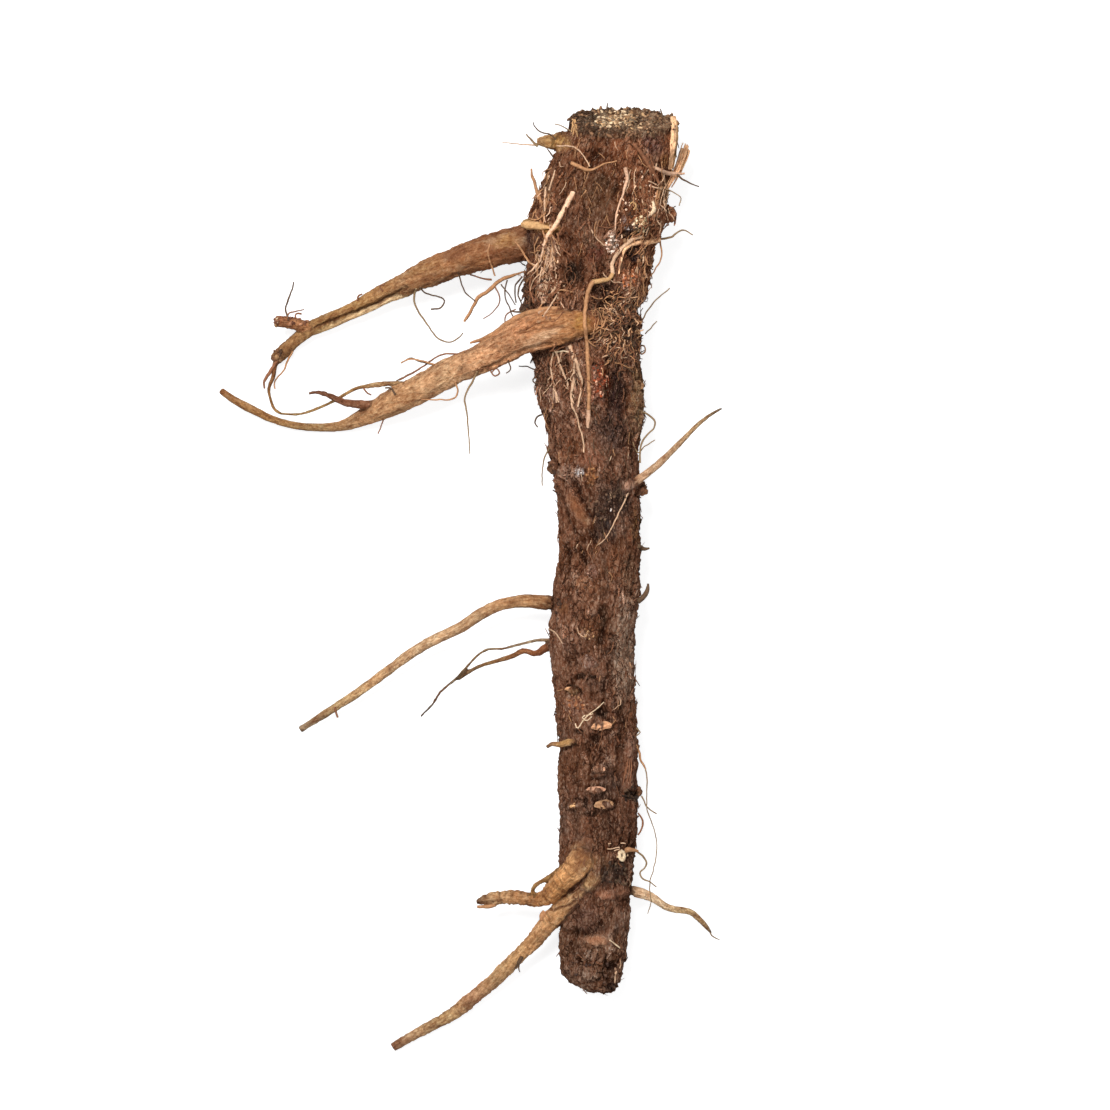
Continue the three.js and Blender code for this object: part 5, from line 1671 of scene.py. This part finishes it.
# %% Crumbs
CRUMBS = [
    # how many, middle x and y, width, height, size from and to, colours
    (110, 12.1, -34.3, 4.6, 5, 0.25, 0.75, ("#ecd2aa", "#dcb88e", "#b98a66")),
    (16, -14.6, -107.3, 2.6, 4.6, 0.5, 1.3, ("#4a3428", "#6d4a36")),
    (12, -12.8, -148, 2, 5, 0.5, 1.2, ("#4a3428", "#6d4a36")),
    (20, -33, -77.6, 8, 3, 0.3, 0.8, ("#8d5f42", "#6d4530")),
    (22, -23, -57, 5, 10, 0.5, 1.4, ("#3a2b22", "#4c3527")),
    (80, 3.6, -39.8, 4.2, 6.4, 0.25, 0.7, ("#f4dcca", "#e8c8b0", "#cfa48c")),
    (90, 11, -31, 14, 26, 0.25, 0.8, ("#e0bca0", "#c08f70", "#55341f", "#3f2617")),
    (40, -15.5, -47, 6, 22, 0.3, 0.8, ("#dcb498", "#b98468", "#4a2f20")),
    (12, 8.3, -35.3, 2.2, 1.7, 0.25, 0.55, ("#decdc6", "#c9b0a6")),
    (34, 8.8, -50.8, 5.5, 6.4, 0.3, 0.9, ("#b3693f", "#cf9c7c", "#8a5236")),
    (34, -0.2, -81, 4.6, 11, 0.3, 0.8, ("#b05430", "#8a4228", "#cf9a7e")),
    (16, -6.6, -108.7, 2, 2.8, 0.25, 0.6, ("#e6dad2", "#c8b2a4")),
    (24, -2.4, -109.8, 3.6, 7, 0.3, 0.8, ("#94603a", "#a8764c", "#6f452c")),
    (50, 2.8, -119.8, 12, 15, 0.4, 1.0, ("#3d2a20", "#523d2e", "#6d5340")),
    (50, -16, -50, 6, 26, 0.4, 1.1, ("#b08c70", "#7d5a44", "#3a291f")),
    (70, 13, -40, 12, 26, 0.4, 1.3, ("#4a3428", "#6d4a36", "#9a7252")),
    (70, 6, -64, 14, 16, 0.4, 1.2, ("#2f2018", "#4a3225", "#6d4d36")),
    (40, 4.6, -229.4, 10, 8, 0.4, 1.0, ("#42332a", "#5a4636")),
    (24, -3.6, -140, 8, 8, 0.3, 0.9, ("#8d6a55", "#5c3f2f", "#a98370")),
    (30, -7.8, -178, 6, 6, 0.3, 0.9, ("#96603f", "#6b4330", "#a97a58")),
    (26, 9.4, -205.4, 5, 4.6, 0.5, 1.3, ("#33251d", "#5c4534")),
    (4, 6.2, -223.4, 5, 5, 0.3, 0.6, ("#d2b08a", "#a9825f", "#7d5f49")),
    (26, -1, -257, 15, 11, 0.4, 0.9, ("#4c3830", "#6c5143", "#866650")),
    (34, -97.8, -73.4, 4.6, 5, 0.4, 1.2, ("#4b3526", "#6f4c34", "#9a7450")),
    (18, -97.2, -63.4, 2.4, 3.6, 0.3, 0.9, ("#dcc4a0", "#8b5f45", "#6d4634")),
    (12, -91.6, -63.8, 8, 3, 0.4, 1.0, ("#8b5f45", "#6d4634", "#a8785a")),
    (14, 14.4, -57.6, 3.4, 3, 0.5, 1.3, ("#6b432f", "#8b5c44")),
    (12, 12.6, -123.8, 2.6, 3, 0.5, 1.2, ("#3a2b22", "#573f30")),
    (14, 13.2, -131.6, 2.6, 3.6, 0.5, 1.3, ("#2f241d", "#4b382c")),
    (10, 12.4, -137.6, 2, 2.6, 0.5, 1.1, ("#3a2b22", "#573f30")),
    (14, 12.4, -204.6, 2.4, 3.2, 0.6, 1.4, ("#6f4b35", "#8d6449")),
    (26, 14.6, -23.6, 14, 10, 0.3, 0.9, ("#d9b48c", "#8d6347", "#4b3427")),
    (2, 3.3, -119.8, 0.6, 0.6, 0.35, 0.55, ("#d6c6bc",)),
    (16, -4, -157, 5, 4, 0.3, 0.8, ("#b98e66", "#7d5236")),
]
CUT_CRUMBS = 1500
RIM_TONES = ("#5b402d", "#74533c", "#46301f", "#886449")
PITH_TONES = ("#e2c5a0", "#d0ac84", "#bf976e", "#a37b57", "#6b4e38")
FLANK_TONES = ("#b08a6a", "#957052", "#745439", "#4a3324")
at = []
sizes = []
shades = []
for count, x, y, width, height, small, big, codes in CRUMBS:
    for _ in range(count):
        at.append(land(spot_in(x, y, width, height)))
        size = dice.uniform(small, big)
        sizes.append([size * dice.uniform(0.6, 1.2), size * dice.uniform(0.8, 1.6), 0.7 * size])
        shades.append(colour(dice.choice(codes)) * dice.uniform(0.8, 1.15))
for index in turns.choice(np.nonzero(cut > 0.5)[0], CUT_CRUMBS):
    x = points[index, 0]
    rim = from_middle[index] + dice.gauss(0, 0.06) > 0.82
    flank = x + dice.gauss(0, 1.6) > 10.5 or x + dice.gauss(0, 1.5) < -1
    if flank and not rim and dice.random() < 0.5:
        continue
    at.append(int(index))
    size = 0.22 + 0.66 * dice.random() ** 2
    sizes.append([size, size * dice.uniform(0.8, 2.6), size * dice.uniform(0.4, 0.8)])
    codes = RIM_TONES if rim else FLANK_TONES if flank else PITH_TONES
    shades.append(colour(dice.choice(codes)) * dice.uniform(0.8, 1.1))
at = np.array(at)
spin = turns.uniform(0, 2 * math.pi, len(at))
axes = frames_at(at, spin, turns.normal(0, 0.4, len(at)))
grainy = [0.7, 0.7, 0.7]
crumbs = scatter("crumbs", CRUMB, points[at], axes, np.array(sizes), np.array(shades), grainy)
print(len(at), "crumbs")

# %% [markdown]
# ## Stubs of rootlets
#
# Down the front of the taproot sits a ladder of broken rootlets. Each left a flat oval stub in
# its own gap in the bark, with the rootlet's fibres showing on its broken face. One rootlet
# near the tip broke off hollow, and its end is a ring.

# %% Stubs
RING_PLACE = (6.2, -223.7)
RING_SIZE = (3.0, 3.6, 2.6)
RING_TONE = "#dfc5a2"
at = np.array([land((x, y)) for x, y, *_ in STUBS])
sizes = np.array([[width, height, 2 * rise] for _, _, width, height, rise, _, _ in STUBS])
angles = np.radians([turn for *_, turn, _ in STUBS])
out = unit(normals[at] + [0, 0, 1.4])
across = np.column_stack([np.cos(angles), np.sin(angles), 0 * angles])
across = unit(across - out * (across * out).sum(1)[:, None])
axes = np.stack([across, np.cross(out, across), out], axis=1)
shades = np.array([colour(code) for *_, code in STUBS])
places = points[at] - 0.5 * out
stubs = scatter("rootlet_stubs", STUB, places, axes, sizes, shades, [4, 0.35, 0.5], 0.42)
at = np.array([land(RING_PLACE)])
axes = frames_at(at, np.array([0.2]), np.array([0.15]))
places = points[at] + 0.5 * normals[at]
shades = colour(RING_TONE)[None]
ring_end = scatter("ring", RING, places, axes, np.array([RING_SIZE]), shades, [0.6, 0.6, 0.6])
print(len(STUBS), "stubs and a broken ring")

# %% [markdown]
# ## Peeled bark and splinters
#
# At the right of the crown a strip of pale inner bark has peeled, and a splinter of fibres
# stands off beside it. Both are bundles of thin strands, side by side, that part towards the
# loose end. Smaller bundles of torn fibres lie on the bark elsewhere.

# %% Splinters
SPLINTERS = [
    # tone, strands, width at both ends, radius, lift, how ragged, route
    ("straw", 4, 0.7, 0.8, 0.48, 0.0, 0.1, [(21.9, -2.2), (22.1, -6), (21.7, -11), (20.9, -17.8)]),
    ("amber", 3, 0.5, 0.8, 0.32, 0.0, 0.3, [(22.7, -2.6), (23.0, -6.5), (22.5, -12),
     (21.4, -18.6)]),
    ("straw", 9, 2.2, 1.5, 0.42, 1.2, 0.4, [(25.9, -10.6), (24.9, -14), (23.2, -18.2),
     (20.0, -23.8)]),
    ("peeled", 4, 2.6, 1.2, 0.24, 1.3, 0.6, [(26.4, -9.0), (25.0, -13.2), (23.4, -17.6),
     (20.4, -22.6)]),
    ("pale", 3, 1.2, 2.4, 0.2, 0.3, 1, [(20.4, -20.4), (19.5, -24.6), (18.4, -29), (17.4, -33)]),
    ("tan", 4, 1.2, 2.4, 0.24, 0.3, 1, [(18.9, -19.5), (18, -24), (17.2, -28.5), (15.6, -33)]),
    ("pale", 2, 1.0, 1.4, 0.2, 0.2, 1, [(10.8, -16), (9.6, -19.6), (9.4, -23), (8.2, -26)]),
    ("brown", 5, 1.6, 2.4, 0.24, 0.2, 1, [(14.4, -12), (15.6, -17), (16.2, -22), (15.6, -27)]),
    ("pale", 4, 1.0, 2.4, 0.24, 0.2, 1, [(-14.6, -40), (-15, -44.5), (-15.6, -49), (-17.4, -54)]),
    ("pale", 5, 1.0, 2.4, 0.2, 0.2, 1, [(-16.4, -51), (-17.4, -54), (-18.4, -57.6)]),
    ("tan", 5, 1.0, 2.2, 0.2, 0.3, 1, [(-15.6, -24), (-16.6, -29), (-17.6, -33.4)]),
    ("amber", 4, 0.8, 1.4, 0.24, 0.1, 0.6, [(-7.9, -2.8), (-7.7, -5.6), (-7.8, -8)]),
    ("pale", 3, 0.6, 1.4, 0.2, 0.2, 1, [(-13.8, -83.4), (-13.4, -86), (-13, -89)]),
    ("brown", 5, 1.4, 2.2, 0.2, 0.1, 1, [(9, -192), (8.8, -197), (8.4, -203)]),
]
splinters = {tone: [] for tone in TONES}
for tone, strands, start_width, end_width, radius, lift, ragged_by, route in SPLINTERS:
    line = through(route, 1.2, 2)
    side = unit(np.gradient(line, axis=0)[:, ::-1] * [1, -1])
    width = np.linspace(start_width, end_width, len(line))[:, None]
    for share in np.linspace(-0.5, 0.5, strands):
        begin = round(ragged_by * dice.uniform(0, len(line) / 3))
        end = len(line) - round(ragged_by * dice.uniform(0, len(line) / 3))
        parting = np.linspace(0, dice.gauss(0, 0.3), len(line))[:, None]
        wander = ragged_by * (dice.gauss(0, 0.10) + parting)
        shifted = (line + side * width * (share + wander))[begin:end]
        thick = radius * dice.uniform(0.8, 1.2)
        rise = lift * dice.uniform(0, 1)
        splinters[tone].append(lay(shifted, (thick, thick, 0.5 * thick), rise))
splinter_parts = draw_by_tone("splinters", splinters, 0.3)
print(sum(len(strands) for strands in splinters.values()), "strands in the splinters")

# %% [markdown]
# ## The material of rootlets and crumbs
#
# Rootlets are smooth and slightly waxy, crumbs are dry. The tone is painted on each, and fine
# grit breaks it up. The bump is weak, for the wrinkles of a dried skin.

# %% Rootlet material
skin_material, tree, shader = plain_material("Rootlet skin")
here = add(tree, "ShaderNodeTexCoord").outputs["Object"]
grit = use(tree, specks, scaled(tree, here, 1 / MM), 1.6).outputs["Grit"]
shade = reddening(tree, spread(tree, grit, 0.1, 0.9, 0.55, 1.45))
shade = blend_colours(tree, read(tree, "paint").outputs["Color"], shade, 0.8, "MULTIPLY")
plug(tree, shade, shader.inputs["Base Color"])
plug(tree, 0.12, shader.inputs["Specular IOR Level"])
plug(tree, 0.68, shader.inputs["Roughness"])
bump(tree, shader, grit, 0.5, 0.0002)

for parts, name in (
    (rootlet_parts, "rootlets"),
    (hair_parts, "hair_roots"),
    (splinter_parts, "splinters"),
    ([crumbs], "crumbs"),
    ([stubs, ring_end], "rootlet_stubs"),
):
    piece = join(parts, name)
    piece.data.materials.clear()
    piece.data.materials.append(skin_material)
    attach(piece, "root")
    print(name, "has", sum(len(p.vertices) - 2 for p in piece.data.polygons), "triangles")

# %% [markdown]
# ## Table, light and camera
#
# The root lies on a plain white table under soft studio light. The big lamp stands up and to
# the left, and the sky fills the shadows. The table adds a little of its own white for the
# camera, so that it looks white where the root's soft shadow isn't.

# %% Table
TABLE_Z = -0.0002
TABLE_WHITE = 0.42
TABLE_GLOW = 0.80
bpy.ops.object.select_all(action="DESELECT")
bpy.ops.mesh.primitive_plane_add(size=6, location=(0, 0, TABLE_Z))
table = bpy.context.active_object
table.name = "table"
white, tree, shader = plain_material("White table")
plug(tree, (TABLE_WHITE, TABLE_WHITE, TABLE_WHITE, 1), shader.inputs["Base Color"])
plug(tree, 0.25, shader.inputs["Specular IOR Level"])
plug(tree, 0.9, shader.inputs["Roughness"])
rays = add(tree, "ShaderNodeLightPath").outputs
looked_at = maths(tree, "MAXIMUM", rays["Is Camera Ray"], rays["Is Glossy Ray"])
looked_at = maths(tree, "MAXIMUM", looked_at, rays["Is Transmission Ray"])
glow = maths(tree, "MULTIPLY", looked_at, TABLE_GLOW)
glow_colour = add(tree, "ShaderNodeCombineColor", {0: glow, 1: glow, 2: glow}).outputs[0]
plug(tree, glow_colour, shader.inputs["Emission Color"])
plug(tree, 1.0, shader.inputs["Emission Strength"])
table.data.materials.append(white)
print("table at", round(table.location.z * 1000, 2), "mm")

# %% Light
SKY = 0.41
LAMPS = [
    # name, place, side of the square, watts
    ("key lamp", (-0.32, 0.5, 1.15), 0.45, 19.0),
    ("fill lamp", (0.7, -0.3, 0.9), 0.9, 2.4),
]
middle = (low + high) / 2
world = bpy.data.worlds.new("Soft sky")
bpy.context.scene.world = world
world.use_nodes = True
sky = world.node_tree.nodes["Background"]
sky.inputs["Color"].default_value = (1, 1, 1, 1)
sky.inputs["Strength"].default_value = SKY
for name, place, side, watts in LAMPS:
    bpy.ops.object.light_add(type="AREA", location=place)
    lamp = bpy.context.active_object
    lamp.name = name
    lamp.data.size = side
    lamp.data.energy = watts
    lamp.rotation_euler = (middle - Vector(place)).to_track_quat("-Z", "Y").to_euler()
print("lamps:", [name for name, *_ in LAMPS])

# %% Camera
bpy.ops.object.camera_add(location=tuple((EYE + ORIGIN) * MM), rotation=(0, 0, 0))
camera = bpy.context.active_object
camera.data.lens = 120
camera.data.sensor_width = 36
bpy.context.scene.camera = camera
bpy.context.scene.view_settings.view_transform = "Standard"
print("camera looks straight down from", round(EYE[2]), "mm")
